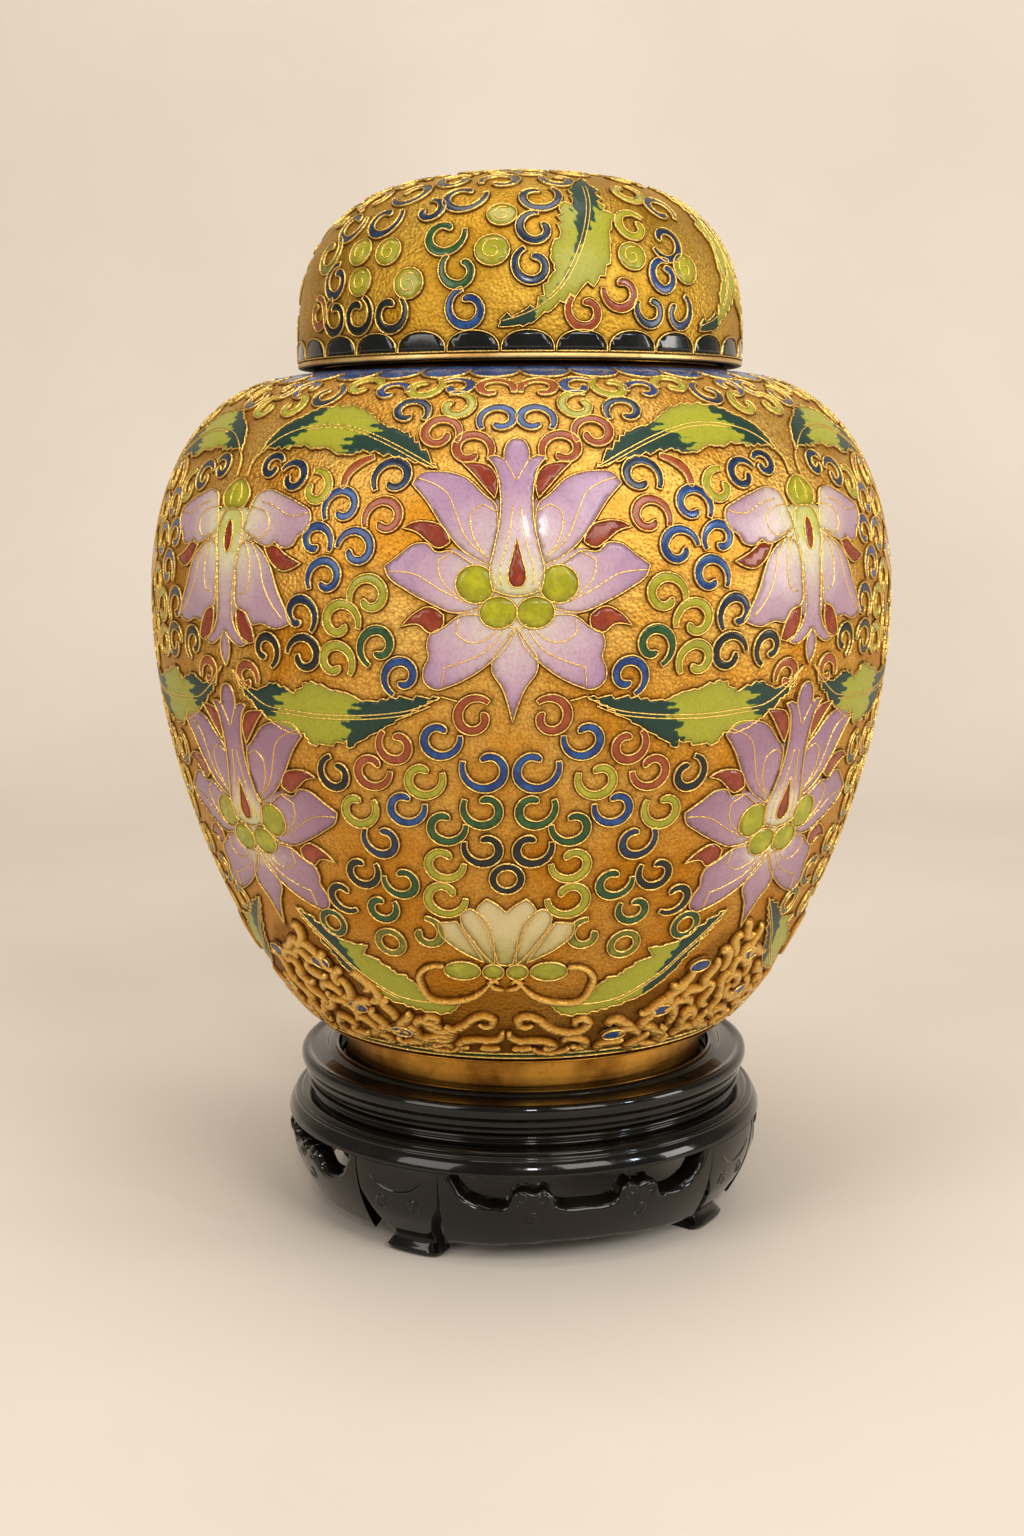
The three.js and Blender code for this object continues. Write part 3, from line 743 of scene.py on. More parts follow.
# ---- jar: gold relief at the foot ----
RELIEF_SECTION = np.array([
    (-1.5, GROUND - 0.1), (-1.2, GROUND + 0.15), (-0.98, 0.35), (-0.5, 0.92), (0, 1.1),
    (0.5, 0.92), (0.98, 0.35), (1.2, GROUND + 0.15), (1.5, GROUND - 0.1), (0, GROUND - 0.6),
])
RELIEF_TAPER = ([0, 0.15, 0.7, 1], [0.45, 0.9, 1.1, 0.7])
# Patina and painted shade down the sides of a strand, kept as crevice.
RELIEF_CREVICE = np.array([0.6, 1, 0.45, 0, 0, 0, 0.45, 1, 0.6, 0.0])
# Polished top of a strand, with a painted highlight.
RELIEF_POLISH_HIGHLIGHT = np.array([0, 0, 0, 0.45, 0.85, 0.45, 0, 0, 0, 0.0])


def relief(place, line, width):
    """A thick raised strand of gilt metal along a line."""
    taper = width * along(line, *RELIEF_TAPER)
    jar.traces.append(jar.swept("relief", place, line, RELIEF_SECTION, False, taper,
                                crevice=RELIEF_CREVICE, polish=RELIEF_POLISH_HIGHLIGHT))


# Distance of each row of small strands, and how many there are in it.
RELIEF_ROWS = [(6.4, 52), (10.8, 53), (15.2, 54), (19.6, 56), (24, 58), (28.4, 60), (32.8, 62),
               (37.2, 63), (41.6, 64), (45.8, 64)]
# Distance up to which the small strands grow, by azimuth from the half flower.
RELIEF_TOP = [(0, 4), (15, 4), (17, 15.5), (24, 18.5), (30, 25), (35, 33), (40, 42), (45, 46)]
# The same for the ground between them that gets painted shade.
STRAND_SHADE_TO = [(0, 17), (15, 20), (30, 31), (38, 44), (45, 46)]
# Small blue cells among the strands.
RELIEF_EYES = [(33, 18.6), (38, 33), (24, 11)]
EYE_OVAL = (0, 0, 3.2, 1.9, 12)
EYE_LIFT = 0.8
SMALL_STRAND, LONG_STRAND, BORDER_STRAND = 1.55, 1.3, 0.9    # widths
STRAND_LENGTH = (8.5, 12)
STRAND_BEND = (3.4, 4.8)
HEADING_SPREAD = 0.8     # radians
STRAND_ASTRAY = 1.2      # degrees round the body
STRAND_SHIFT = 0.8       # mm up the body
DOUBLE_SHARE = 0.45      # share of the small strands that are an S
BORDER_STRANDS = 28
BORDER_AT = 4.2
BORDER_LINE = [(-5, 0.2), (-2, -0.6), (1.5, -0.5), (4, 0.6), (4.6, 2)]
# Long strands below the half flower: mm from its middle line, mm up from the foot.
LONG_STRANDS = [
    [(6.9, 16.4), (5.4, 15.2), (3.4, 15.9), (3.1, 18.3), (5.2, 19.6), (8, 18.4), (10.4, 15.4),
     (13.6, 13.2), (17, 12.4), (20, 13.6), (21.4, 16.2), (20, 18.2), (17.8, 17.6), (17.8, 15.8)],
    [(0.9, 13.6), (1.2, 11), (3.4, 9.4), (7, 9.6), (10.4, 8.8), (12.4, 6.9), (11.2, 5.6), (9.6, 6.3)],
    [(1.6, 6.2), (4, 5.6), (6.6, 6.4)],
    [(14.4, 8.6), (15.6, 10.4), (18.4, 9.9), (20.4, 8), (20.2, 5.9), (18, 5.4), (16.9, 6.8)],
]


def up_to(azimuth, profile):
    """A distance on the body, given by azimuth from the nearest half flower."""
    return np.interp(np.abs((azimuth + 45) % 90 - 45), *np.transpose(profile))


def strand_line(length, heading, bend, double):
    """A strand that curls in at both ends: a C, or an S where it is double."""
    t = np.linspace(0, 1, 15)
    turning = bend * (0.35 + 2.2 * np.abs(2 * t - 1) ** 1.6)
    if double:
        turning = turning * np.sign(t - 0.5)
    angle = heading + np.cumsum(turning) / len(t)
    steps = np.stack([np.cos(angle), np.sin(angle)], axis=-1) * length / len(t)
    line = np.cumsum(steps, axis=0)
    return line - line.mean(axis=0)


def puffed_strands():
    """Close-set puffed strands over the lowest part of the body, reaching up beside the low leaves.

    Every strand of the rows draws its numbers, also where it is then left out.
    """
    chance = np.random.default_rng(7)
    for row, (distance, count) in enumerate(RELIEF_ROWS):
        for i in range(count):
            astray = chance.uniform(-STRAND_ASTRAY, STRAND_ASTRAY)
            azimuth = 360 * (i + 0.5 * (row % 2)) / count + astray
            hand = chance.choice([-1, 1])
            line = strand_line(chance.uniform(*STRAND_LENGTH), chance.normal(0, HEADING_SPREAD),
                               hand * chance.uniform(*STRAND_BEND), chance.uniform() < DOUBLE_SHARE)
            up = distance + chance.uniform(-STRAND_SHIFT, STRAND_SHIFT)
            if distance <= up_to(azimuth, RELIEF_TOP):
                relief(Place(jar_skin, azimuth, up), line, SMALL_STRAND)
    for line in LONG_STRANDS:
        start = line[0][1]
        for place in jar_places(0, start):
            relief(place, smooth_line(np.array(line) - (0, start)), LONG_STRAND)
    for i in range(BORDER_STRANDS):
        place = Place(jar_skin, 360 * (i + 0.5) / BORDER_STRANDS, BORDER_AT, SIDES[i % 2])
        relief(place, smooth_line(BORDER_LINE), BORDER_STRAND)
    for azimuth, distance in RELIEF_EYES:
        for place in jar_places(azimuth, distance):
            jar.cell(place, oval(*EYE_OVAL), "blue", "flower_wires", EYE_LIFT)


# ---- jar: leaves ----
# Each leaf: azimuth and distance of its origin, outline, midrib, mm along it from which its ends are
# dark, how much that slants across the leaf, and the wire of its stem.
MID_LEAF = dict(
    at=(27, 106),
    outline=[(-30.4, 4), (-20.6, 3.5), (-9.8, 2.9), (-8.2, 3.7), (-3.1, 4.7), (5.2, 5.8), (6.7, 4.2),
             (15.5, 5.5), (20.1, 3.5), (25.8, 5.3), (29.4, 8.1), (24.7, 1.9), (19.6, -2),
             (14.4, -5.1), (10.3, -6.6), (5.7, -6.5), (4.1, -9.4), (-1, -8.9), (-6.2, -7.6),
             (-6.7, -9.7), (-10.3, -7.4), (-15.5, -4.5), (-23.7, 0.1)],
    midrib=[(-30.4, 3.7), (-23.2, 0.6), (-15.5, -0.7), (-5.2, -1.4), (2.6, -1.4), (10.3, -0.9),
            (17.5, -0.2), (23.2, 2.7), (29.9, 8.3)],
    dark_ends=(-9, 15),
    slant=0.5,
    stem=[(-30.4, 4), (-34.5, 2.9)],
)
UPPER_LEAF = dict(
    at=(28, 170),
    outline=[(-28.1, -6.6), (-23.2, -1.5), (-18, 3.1), (-11.3, 5.5), (-6.2, 9.3), (-2.6, 11.4),
             (4.1, 12.2), (10.3, 11), (13.9, 8.8), (18, 6.4), (21.6, 2.4), (23.4, -1.6), (18.6, -0.6),
             (15.5, -1), (10.3, 0), (6.7, -1), (1.5, -1), (0, -2), (-4.1, -2.8), (-7.2, -2),
             (-10.3, -2), (-15.5, -3.3), (-22.2, -4.8)],
    midrib=[(-28.1, -6.6), (-20.6, -2.5), (-12.9, 1.3), (-5.2, 4.4), (1, 5.8), (9.3, 5.4),
            (16, 3.4), (22.6, -1.2)],
    dark_ends=(-8, 12),
    slant=0.9,
    stem=[(23, -1.6), (25.3, -4), (26.2, -8.4)],
)
LOWER_LEAF = dict(
    at=(29, 35),
    outline=[(16, 15), (9.7, 11.9), (7.3, 10.4), (1.9, 6.8), (-5.3, 6.1), (-3.4, 3.2), (-6.8, 1.7),
             (-10.2, -1.2), (-15.5, -4.4), (-16.5, -7), (-18.9, -10), (-26.2, -10.9),
             (-22.3, -14.8), (-14.6, -14.8), (-8.7, -12.9), (-2.9, -10.4), (2.9, -5.1), (7.3, 1.7),
             (10.7, 6.6), (14.6, 12.4)],
    midrib=[(16, 15), (9.7, 8), (4.9, 2.7), (1.9, -1.2), (-2.9, -5.6), (-9.7, -10.2),
            (-15.5, -11.4), (-21.8, -10.9)],
    dark_ends=(-60, 0),
    slant=-0.7,
)
FEATHERING = 2.5


def feathered(flat):
    """Brush strokes that carry one colour of a leaf into the other, mm along the leaf."""
    x, y = flat.T
    return 1.5 * np.sin(2.1 * y + 1.1 * np.sin(0.9 * y)) + 1.2 * np.sin(4.7 * y + 0.9 * x)


def leaf_shade(leaf):
    """0 where the leaf is lime, 1 at its dark ends, with some dark along the midrib."""
    low, high = leaf["dark_ends"]
    rib = smooth_line(leaf["midrib"], step=2.0)

    def shade(flat):
        side = flat[:, 1] - np.interp(flat[:, 0], *np.array(sorted(map(tuple, rib))).T)
        x = flat[:, 0] + feathered(flat) + leaf["slant"] * side
        ends = np.clip(np.maximum((low - x) / FEATHERING, (x - high) / FEATHERING) + 0.5, 0, 1)
        return np.clip(ends + 0.25 * np.exp(-gap(flat, rib) / 1.5), 0, 1)

    return shade


LEAF_TEETH = (3.1, 1.0)  # length and depth of a tooth
RIB_APART = (0.15, -0.95)


def toothed(line, length, tooth):
    """A closed line with small teeth that lean forward, as on the edge of a leaf."""
    steps = np.hypot(*(np.roll(line, -1, axis=0) - line).T)
    marks = np.cumsum(steps) - steps
    ahead = np.roll(line, -1, axis=0) - np.roll(line, 1, axis=0)
    out = np.stack([ahead[:, 1], -ahead[:, 0]], axis=-1) / (np.hypot(*ahead.T)[:, None] + 1e-9)
    saw = (marks + 0.8 * np.sin(marks / 1.9)) / length % 1.0
    turning = np.sum(line[:, 0] * np.roll(line[:, 1], -1) - line[:, 1] * np.roll(line[:, 0], -1))
    depth = math.copysign(tooth, turning) * (0.75 + 0.45 * np.sin(marks / 5))
    return line + out * (depth * (saw - 0.5))[:, None]


def draw_leaf(ornament, place, leaf, wires, shade, teeth=LEAF_TEETH, vein_from=3, vein_apart=RIB_APART):
    """A toothed leaf with a midrib and a second wire beside most of it."""
    line = toothed(smooth_line(leaf["outline"], closed=True, step=0.8), *teeth)
    ornament.fill(place, line, "leaves", shade=shade, spacing=0.9)
    ornament.wire(place, line, True, wires)
    rib = smooth_line(leaf["midrib"])
    ornament.wire(place, rib, False, wires)
    ornament.wire(place, rib[vein_from:len(rib) * 3 // 4] + vein_apart, False, wires)
    if "stem" in leaf:
        ornament.wire(place, smooth_line(leaf["stem"]), False, wires)


# ---- jar: scrolls ----
# (azimuth, distance, radius, direction of the tail, sweep, enamel). 90 degrees is up, and a positive
# sweep runs anticlockwise. Each is drawn eight times round the body.
JAR_SCROLLS = [
    (5, 105.5, 4.1, 135, -300, "rust"), (9.6, 99.8, 4.3, 170, 280, "blue"),
    (3.6, 92.5, 5, 20, -280, "blue"), (12, 89.7, 4.3, 160, 280, "lime"),
    (16.2, 98, 3.9, 50, -290, "rust"), (19.6, 91.2, 4.1, 180, 290, "rust"),
    (25.8, 90.1, 3.9, 80, -300, "black"), (3.8, 82.3, 4.4, 30, -280, "green"),
    (8.9, 77.7, 4.3, 175, 260, "green"), (14.8, 82.4, 4.3, 170, 270, "blue"),
    (22.3, 81.2, 4.3, 150, 280, "lime"), (19.3, 73.3, 4.3, 35, -270, "navy"),
    (3.7, 72, 4.3, 20, -270, "black"), (9.4, 67.5, 4.3, 180, 280, "lime"),
    (23.1, 64, 4.1, 150, 280, "black"), (16.8, 61.9, 4.1, 15, -270, "green"),
    (27.4, 55.7, 4.1, 230, 230, "black"), (9.6, 57.6, 4.6, 180, 300, "lime"),
    (20.6, 53.7, 3.6, 150, 280, "green"), (13.4, 47.2, 3.9, 90, 250, "olive"),
    (22.1, 187.7, 3.5, 190, -250, "blue"), (17, 179.6, 3.9, 215, -270, "navy"),
    (11.4, 173.1, 4, 215, -330, "rust"), (3.8, 188.2, 4, 200, -250, "rust"),
    (9.8, 182, 3.8, 60, 290, "lime"), (2.9, 177, 3.9, 320, 290, "blue"),
    (6.4, 168.4, 4.1, 215, -290, "rust"), (16.3, 189.3, 3.9, 120, 280, "lime"),
    (17.7, 161.3, 4.1, 320, 290, "navy"), (18.4, 151.6, 4.1, 330, 290, "rust"),
    (29.6, 159, 3.6, 70, 260, "lime"), (34.2, 161.8, 3.4, 20, 290, "navy"),
    (38.7, 164.4, 2.7, 160, -280, "navy"),
    (25, 154.1, 4, 320, 290, "blue"), (22.2, 144.4, 4, 0, 290, "blue"),
    (28.2, 145.9, 3.6, 215, -270, "blue"), (26.8, 137.3, 4, 325, 290, "blue"),
    (20.1, 133.3, 4.1, 340, 290, "lime"), (24, 127.2, 4.1, 200, -290, "lime"),
    (18.7, 121.4, 4, 290, 300, "green"), (15.3, 114.4, 3.8, 290, 300, "blue"),
    (24.6, 117.6, 3.9, 220, -290, "lime"), (30.4, 128.1, 4, 230, -270, "navy"),
    (29.9, 119, 4, 0, 300, "black"), (36.4, 119.3, 3.5, 250, -280, "black"),
    (40.4, 112.4, 3.2, 200, -280, "rust"),
    (28.6, 190.4, 3.8, 200, -280, "lime"), (35.2, 187, 3.8, 100, 280, "navy"),
    (41.6, 183, 3.4, 70, 260, "lime"), (42, 190, 3.3, 250, 270, "blue"),
    (10.6, 189.6, 3.4, 30, 280, "blue"),
]
# (azimuth, distance, radius, enamel, sides that it is drawn on)
JAR_RINGS = [(0, 63.4, 3.4, "black", SIDES[:1]), (20.4, 43, 3.4, "olive", SIDES),
             (31.4, 47, 3.3, "green", SIDES)]
RED_STROKE = [(20.9, 166.6), (23.2, 165), (24.9, 162), (25.2, 158.9)]
HIGH_SCROLLS_FROM = 150
# How each flower is drawn, its azimuth and distance, and the piece it is in.
FLOWERS = [(draw_lotus, 0, 132.6, "petals_lotus"), (draw_lotus, 45, 71.7, "petals_low_lotus"),
           (draw_blossom, 45, 140, "petals_blossom")]


def scroll_wires(distance):
    """The wires of the scrolls are shared out among three pieces, by height."""
    if distance < MID_LEAF["at"][1]:
        return "scroll_wires_low"
    return "scroll_wires_high" if distance > HIGH_SCROLLS_FROM else "scroll_wires"


def draw_jar_ornament():
    for azimuth, distance, radius, tail, turn_angle, colour in JAR_SCROLLS:
        wires = scroll_wires(distance)
        manner = OPEN_SCROLL if wires == "scroll_wires_low" else CURLED_SCROLL
        line = scroll_line(radius, tail, turn_angle, manner)
        for place in jar_places(azimuth, distance):
            band(jar, place, line, colour, wires)
    for azimuth, distance, radius, colour, mirrors in JAR_RINGS:
        for place in jar_places(azimuth, distance, mirrors=mirrors):
            ring_band(jar, place, radius, colour, "scroll_wires_low")
    start = np.array(RED_STROKE[0])
    across = math.radians(1) * jar_skin.radius(start[1])
    stroke = smooth_line((np.array(RED_STROKE) - start) * (across, 1), step=1.2)
    for place in jar_places(*start):
        band(jar, place, stroke, "rust", "scroll_wires_high")
    for leaf in (MID_LEAF, UPPER_LEAF, LOWER_LEAF):
        for place in jar_places(*leaf["at"]):
            draw_leaf(jar, place, leaf, "leaf_wires", leaf_shade(leaf))
    for turn in QUARTERS:
        for draw, azimuth, distance, name in FLOWERS:
            draw(azimuth, distance, turn, name)
        draw_half_flower(turn)
    puffed_strands()
    shoulder_scallops()
    foot_border()


SCALLOPS = 36
SCALLOP_DROP = 16.3      # from the neck's foot to the lowest point of a scallop
SCALLOP_ARC = 6.0
SCALLOP_ROUND = 0.8      # under 1 the arc is squarer than half a circle
SCALLOP_TOP = 0.6        # from the end of the skin to the top of the scallops


def shoulder_scallops():
    """Scalloped border of blue enamel just under the lid."""
    top = jar_skin.length - SCALLOP_TOP
    joint = SCALLOP_DROP - SCALLOP_ARC
    half_turn = math.radians(180 / SCALLOPS)
    arc = [(math.cos(a), joint + SCALLOP_ARC * math.sin(a) ** SCALLOP_ROUND)
           for a in np.linspace(0, math.pi, 9)]
    sides = [(-1, joint / 2), (-1, 0), (1, 0), (1, joint / 2)]
    for i in range(SCALLOPS):
        place = Place(jar_skin, 360 * (i + 0.5) / SCALLOPS, top)
        flat = np.array([(across * half_turn * jar_skin.radius(top - down), -down)
                         for across, down in arc + sides])
        jar.fill(place, smooth_line(flat, closed=True), "shoulder_band", spacing=1.6)
        jar.wire(place, smooth_line(flat[:len(arc)]), False, "scroll_wires_high")


FOOT_BORDER = (0.5, 2.9)


def foot_border():
    """A dark green band between two wires above the foot's edge."""
    azimuth = np.linspace(0, 360, 400, endpoint=False)
    low, high = FOOT_BORDER
    wide = np.full(len(azimuth), (high - low) / 2 / BAND_HALF)
    wire = {"crevice": WIRE_CREVICE, "polish": WIRE_POLISH_HIGHLIGHT}
    enamel = {"edge": np.full(len(BAND_SECTION), 0.8)}
    for name, distance, section, width, values in (
            ("flower_wires", low, WIRE_SECTION, None, wire),
            ("flower_wires", high, WIRE_SECTION, None, wire),
            ("green", (low + high) / 2, BAND_SECTION, wide, enamel)):
        up = np.full(len(azimuth), distance)
        sweep(jar.piece(name), jar_skin.at(azimuth, up), jar_skin.normal(azimuth, up), section, True,
              width, **values)


# ---- looks: helpers ----
def new_look(name, **settings):
    """A material with a Principled shader and plain numbers set on it."""
    look = bpy.data.materials.new(name)
    look.use_nodes = True
    shader = look.node_tree.nodes["Principled BSDF"]
    for key, value in settings.items():
        shader.inputs[key.replace("_", " ")].default_value = value
    return look, look.node_tree, shader


def node(tree, kind, inputs=None, **settings):
    """A node whose inputs are given as sockets to link, numbers, or sRGB hex codes."""
    made = tree.nodes.new("ShaderNode" + kind)
    for key, value in settings.items():
        setattr(made, key, value)
    for key, value in (inputs or {}).items():
        if isinstance(value, bpy.types.NodeSocket):
            tree.links.new(value, made.inputs[key])
        else:
            made.inputs[key].default_value = hex_colour(value) if isinstance(value, str) else value
    return made


def attribute(tree, name):
    return node(tree, "Attribute", attribute_name=name, attribute_type="GEOMETRY").outputs["Fac"]


def object_place(tree, stretch=(1, 1, 1)):
    """Coordinates in metres that move with the piece."""
    place = node(tree, "TexCoord").outputs["Object"]
    return node(tree, "Mapping", {"Vector": place, "Scale": stretch}).outputs["Vector"]


def noise(tree, scale, detail=3.0, roughness=0.55, stretch=(1, 1, 1)):
    inputs = {"Vector": object_place(tree, stretch), "Scale": scale, "Detail": detail,
              "Roughness": roughness}
    return node(tree, "TexNoise", inputs).outputs["Fac"]


def cells(tree, scale):
    inputs = {"Vector": object_place(tree), "Scale": scale}
    return node(tree, "TexVoronoi", inputs).outputs["Distance"]


def between(tree, value, low, high, to_low=0.0, to_high=1.0):
    inputs = {"Value": value, "From Min": low, "From Max": high, "To Min": to_low, "To Max": to_high}
    return node(tree, "MapRange", inputs).outputs["Result"]


def math_node(tree, operation, a, b):
    return node(tree, "Math", {0: a, 1: b}, operation=operation).outputs[0]


def blend_colour(tree, share, a, b, how="MIX"):
    inputs = {0: share, 6: a, 7: b}
    return node(tree, "Mix", inputs, data_type="RGBA", blend_type=how).outputs[2]


def ramp(tree, value, stops):
    made = node(tree, "ValToRGB", {"Fac": value})
    elements = made.color_ramp.elements
    while len(elements) < len(stops):
        elements.new(0.5)
    for element, (position, colour) in zip(elements, stops):
        element.position = position
        element.color = hex_colour(colour)
    return made.outputs["Color"]


def bump(tree, height, strength, distance, under=None):
    inputs = {"Height": height, "Strength": strength, "Distance": distance}
    if under:
        inputs["Normal"] = under
    return node(tree, "Bump", inputs).outputs["Normal"]


def connect(tree, shader, **sockets):
    for key, value in sockets.items():
        tree.links.new(value, shader.inputs[key.replace("_", " ")])


def hex_colour(code):
    """Linear colour from an sRGB hex code."""
    channels = [int(code[i:i + 2], 16) / 255 for i in (0, 2, 4)]
    linear = [c / 12.92 if c <= 0.04045 else ((c + 0.055) / 1.055) ** 2.4 for c in channels]
    return (*linear, 1.0)


# ---- looks ----
GOLD_LIGHT = "E8BC60"
GOLD_DEEP = "D4942A"
# Painted shade: the deeper gold that the ground takes on towards the foot.
GOLD_SHADED = "B87618"
GOLD_STIPPLE = "9A5A18"
GOLD_BRIGHT = "F4CC70"
# Patina and painted shade in the corners beside the wires.
PATINA_AND_SHADE = "401A07"
OLIVE_GROUND = "3B3D12"
SPECKLE_TINT = "B9A9A0"
EDGE_TINT = "8F7A66"


# Scales of the noises and cells, counted per metre.
PATCHES = 38             # slow drifts of colour over a piece
TURNED_PATCHES = 60
STROKES = 300            # marks of the brush or the fire in enamel
GRAIN = 1500
STIPPLES = 1050          # punch marks in the gilt ground
PITS = 620               # bubbles in enamel that were ground open
RINGS = 900              # turning marks, squeezed flat round the axis


def gilt_look(name, stipple=1.0, deep=GOLD_DEEP, light=GOLD_LIGHT):
    """Stippled gilding: patina and painted shade in the corners beside the wires, polished tops with a
    painted highlight, and deeper gold towards the foot as painted shade.
    """
    look, tree, shader = new_look(name, Metallic=1.0)
    crevice, polish = attribute(tree, "crevice"), attribute(tree, "polish")
    olive = attribute(tree, "olive")
    cloud = noise(tree, PATCHES, 4)
    grain = noise(tree, GRAIN, 2, 0.6)
    dents = cells(tree, STIPPLES)
    colour = ramp(tree, cloud, [(0.35, deep), (0.62, light)])
    height = node(tree, "SeparateXYZ", {0: object_place(tree)}).outputs["Z"]
    # Painted shade: the gold turns deeper towards the bottom of the jar.
    low = between(tree, height, 0.05, 0.17)
    colour = blend_colour(tree, between(tree, low, 0, 1, 0.8, 0.0), colour, GOLD_SHADED)
    colour = blend_colour(tree, between(tree, grain, 0.6, 0.34, 0.0, 0.6), colour, GOLD_STIPPLE)
    # Polished tops of the wires and strands, with a painted highlight.
    colour = blend_colour(tree, polish, colour, GOLD_BRIGHT)
    colour = blend_colour(tree, olive, colour, OLIVE_GROUND)
    # Patina and painted shade in the corners beside the wires and strands.
    patchy = between(tree, noise(tree, 240, 3), 0.2, 0.55, 0.6, 1)
    patina_and_shade = math_node(tree, "MULTIPLY", crevice, patchy)
    colour = blend_colour(tree, patina_and_shade, colour, PATINA_AND_SHADE)
    rough = math_node(tree, "ADD", between(tree, grain, 0.3, 0.7, 0.42, 0.56),
                      math_node(tree, "MULTIPLY", crevice, 0.25))
    rough = math_node(tree, "SUBTRACT", rough, math_node(tree, "MULTIPLY", polish, 0.16))
    coarse = bump(tree, dents, 0.6 * stipple, 0.0004)
    fine = bump(tree, grain, 0.4 * stipple, 0.0002, coarse)
    connect(tree, shader, Base_Color=colour, Roughness=rough, Normal=fine)
    return look


def enamel_look(name, stops, mottle=0.18, roughness=0.2, coat=0.25):
    """Fired glass: colour by the shade kept at each vertex, cloudy, with small pits and a gloss."""
    look, tree, shader = new_look(name, IOR=1.45, Specular_IOR_Level=0.35, Coat_Weight=coat,
                                  Coat_Roughness=0.1)
    shade, edge = attribute(tree, "shade"), attribute(tree, "edge")
    cloud = noise(tree, STROKES, 4, 0.65)
    fine = noise(tree, GRAIN, 2)
    moved = math_node(tree, "ADD", shade, between(tree, cloud, 0.3, 0.7, -mottle * 0.6, mottle))
    colour = ramp(tree, moved, stops)
    darker = blend_colour(tree, 1.0, colour, SPECKLE_TINT, "MULTIPLY")
    colour = blend_colour(tree, between(tree, fine, 0.42, 0.7, 0.0, 0.3), colour, darker)
    # The enamel is darker next to its wires.
    darker_by_wires = blend_colour(tree, 1.0, colour, EDGE_TINT, "MULTIPLY")
    colour = blend_colour(tree, math_node(tree, "MULTIPLY", edge, 0.5), colour, darker_by_wires)
    pits = between(tree, cells(tree, PITS), 0.0, 0.16, 0.0, 1.0)
    rough = between(tree, fine, 0.3, 0.7, roughness, roughness + 0.14)
    surface = bump(tree, pits, 0.1, 0.00008)
    surface = bump(tree, noise(tree, 260, 2), 0.1, 0.0004, surface)
    connect(tree, shader, Base_Color=colour, Roughness=rough, Normal=surface)
    return look


def plain_stops(dark, light):
    """An enamel that is one colour, lighter here and there."""
    return [(0.0, dark), (0.12, light)]


def turned_metal_look(name, colour, worn, roughness):
    """Brass turned on a lathe: fine rings, tarnish clouds and tarnish spots."""
    look, tree, shader = new_look(name, Metallic=1.0)
    cloud = noise(tree, TURNED_PATCHES, 5, 0.6)
    rings = noise(tree, RINGS, 2, 0.5, (0.02, 0.02, 1))
    base = ramp(tree, cloud, [(0.32, worn), (0.6, colour)])
    spots = between(tree, noise(tree, 420, 3), 0.6, 0.75, 0, 0.6)
    base = blend_colour(tree, spots, base, worn)
    rough = between(tree, rings, 0.3, 0.7, roughness, roughness + 0.16)
    connect(tree, shader, Base_Color=base, Roughness=rough, Normal=bump(tree, rings, 0.12, 0.0002))
    return look


def lacquer_look(name):
    """Black lacquer over carved hardwood: brown where it thins, with brush marks and soft wear."""
    look, tree, shader = new_look(name, IOR=1.4, Specular_IOR_Level=0.22, Coat_Weight=0.4,
                                  Coat_Roughness=0.03)
    cloud = noise(tree, 45, 5, 0.6)
    grain = noise(tree, 160, 4, 0.6, (1, 1, 0.15))
    colour = ramp(tree, cloud, [(0.35, "090807"), (0.7, "15120C")])
    thin = between(tree, grain, 0.58, 0.72, 0, 0.35)
    colour = blend_colour(tree, thin, colour, "241A0E")
    rough = between(tree, noise(tree, 120, 4), 0.3, 0.7, 0.08, 0.2)
    surface = bump(tree, grain, 0.15, 0.0004)
    surface = bump(tree, noise(tree, 700, 2), 0.1, 0.0002, surface)
    connect(tree, shader, Base_Color=colour, Roughness=rough, Normal=surface)
    return look


def wood_look(name):
    """Plain hardwood with its grain along the piece."""
    look, tree, shader = new_look(name)
    grain = noise(tree, 260, 5, 0.6, (1, 1, 0.08))
    colour = ramp(tree, grain, [(0.3, "4A2F1A"), (0.7, "86603A")])
    connect(tree, shader, Base_Color=colour, Roughness=between(tree, grain, 0.3, 0.7, 0.5, 0.75),
            Normal=bump(tree, grain, 0.3, 0.0004))
    return look


gilt = gilt_look("gilt_ground")
lid_gilt = gilt_look("gilt_lid", 0.8, "B48A24", "DCB44A")
# Slot and look of the metals and of the stand.
BRASS = ("gilt_brass", turned_metal_look("gilt_brass", "BE8836", "6E4216", 0.26))
BRIGHT_BRASS = ("gilt_brass", turned_metal_look("gilt_bright", "F0CF8C", "C08A40", 0.4))
# Near-black brass for the neck seat and the lid's inner sleeve: tarnish, and painted shade for the gap
# under the lid's rim.
TARNISH_AND_SHADE = ("gilt_brass", turned_metal_look("gilt_tarnish_and_shade", "3A2412", "150D08", 0.45))
COPPER = ("copper", turned_metal_look("copper", "A8683A", "5A3320", 0.34))
LACQUER = ("lacquered_wood", lacquer_look("lacquered_wood"))
peg_wood = wood_look("peg_wood")
counter_enamel = enamel_look("counter_enamel", plain_stops("223A5E", "35527E"))

LILAC = [(0.0, "C9C48E"), (0.12, "CFC4B2"), (0.4, "C4ACB0"), (0.8, "B494A6"), (1.0, "A684A0")]
LOW_LILAC = [*LILAC[:2], (0.4, "A88692"), (1.0, "926C80")]
BLOSSOM = [(0.0, "BDBB62"), (0.16, "D3CDA6"), (0.45, "C4AEA8"), (0.9, "AC8C9A")]
CREAM = [(0.0, "8C8A3A"), (0.4, "B8A868"), (0.9, "C9B884")]
LEAF = [(0.30, "9C9A28"), (0.44, "7A8824"), (0.52, "264828"), (0.8, "17362A")]
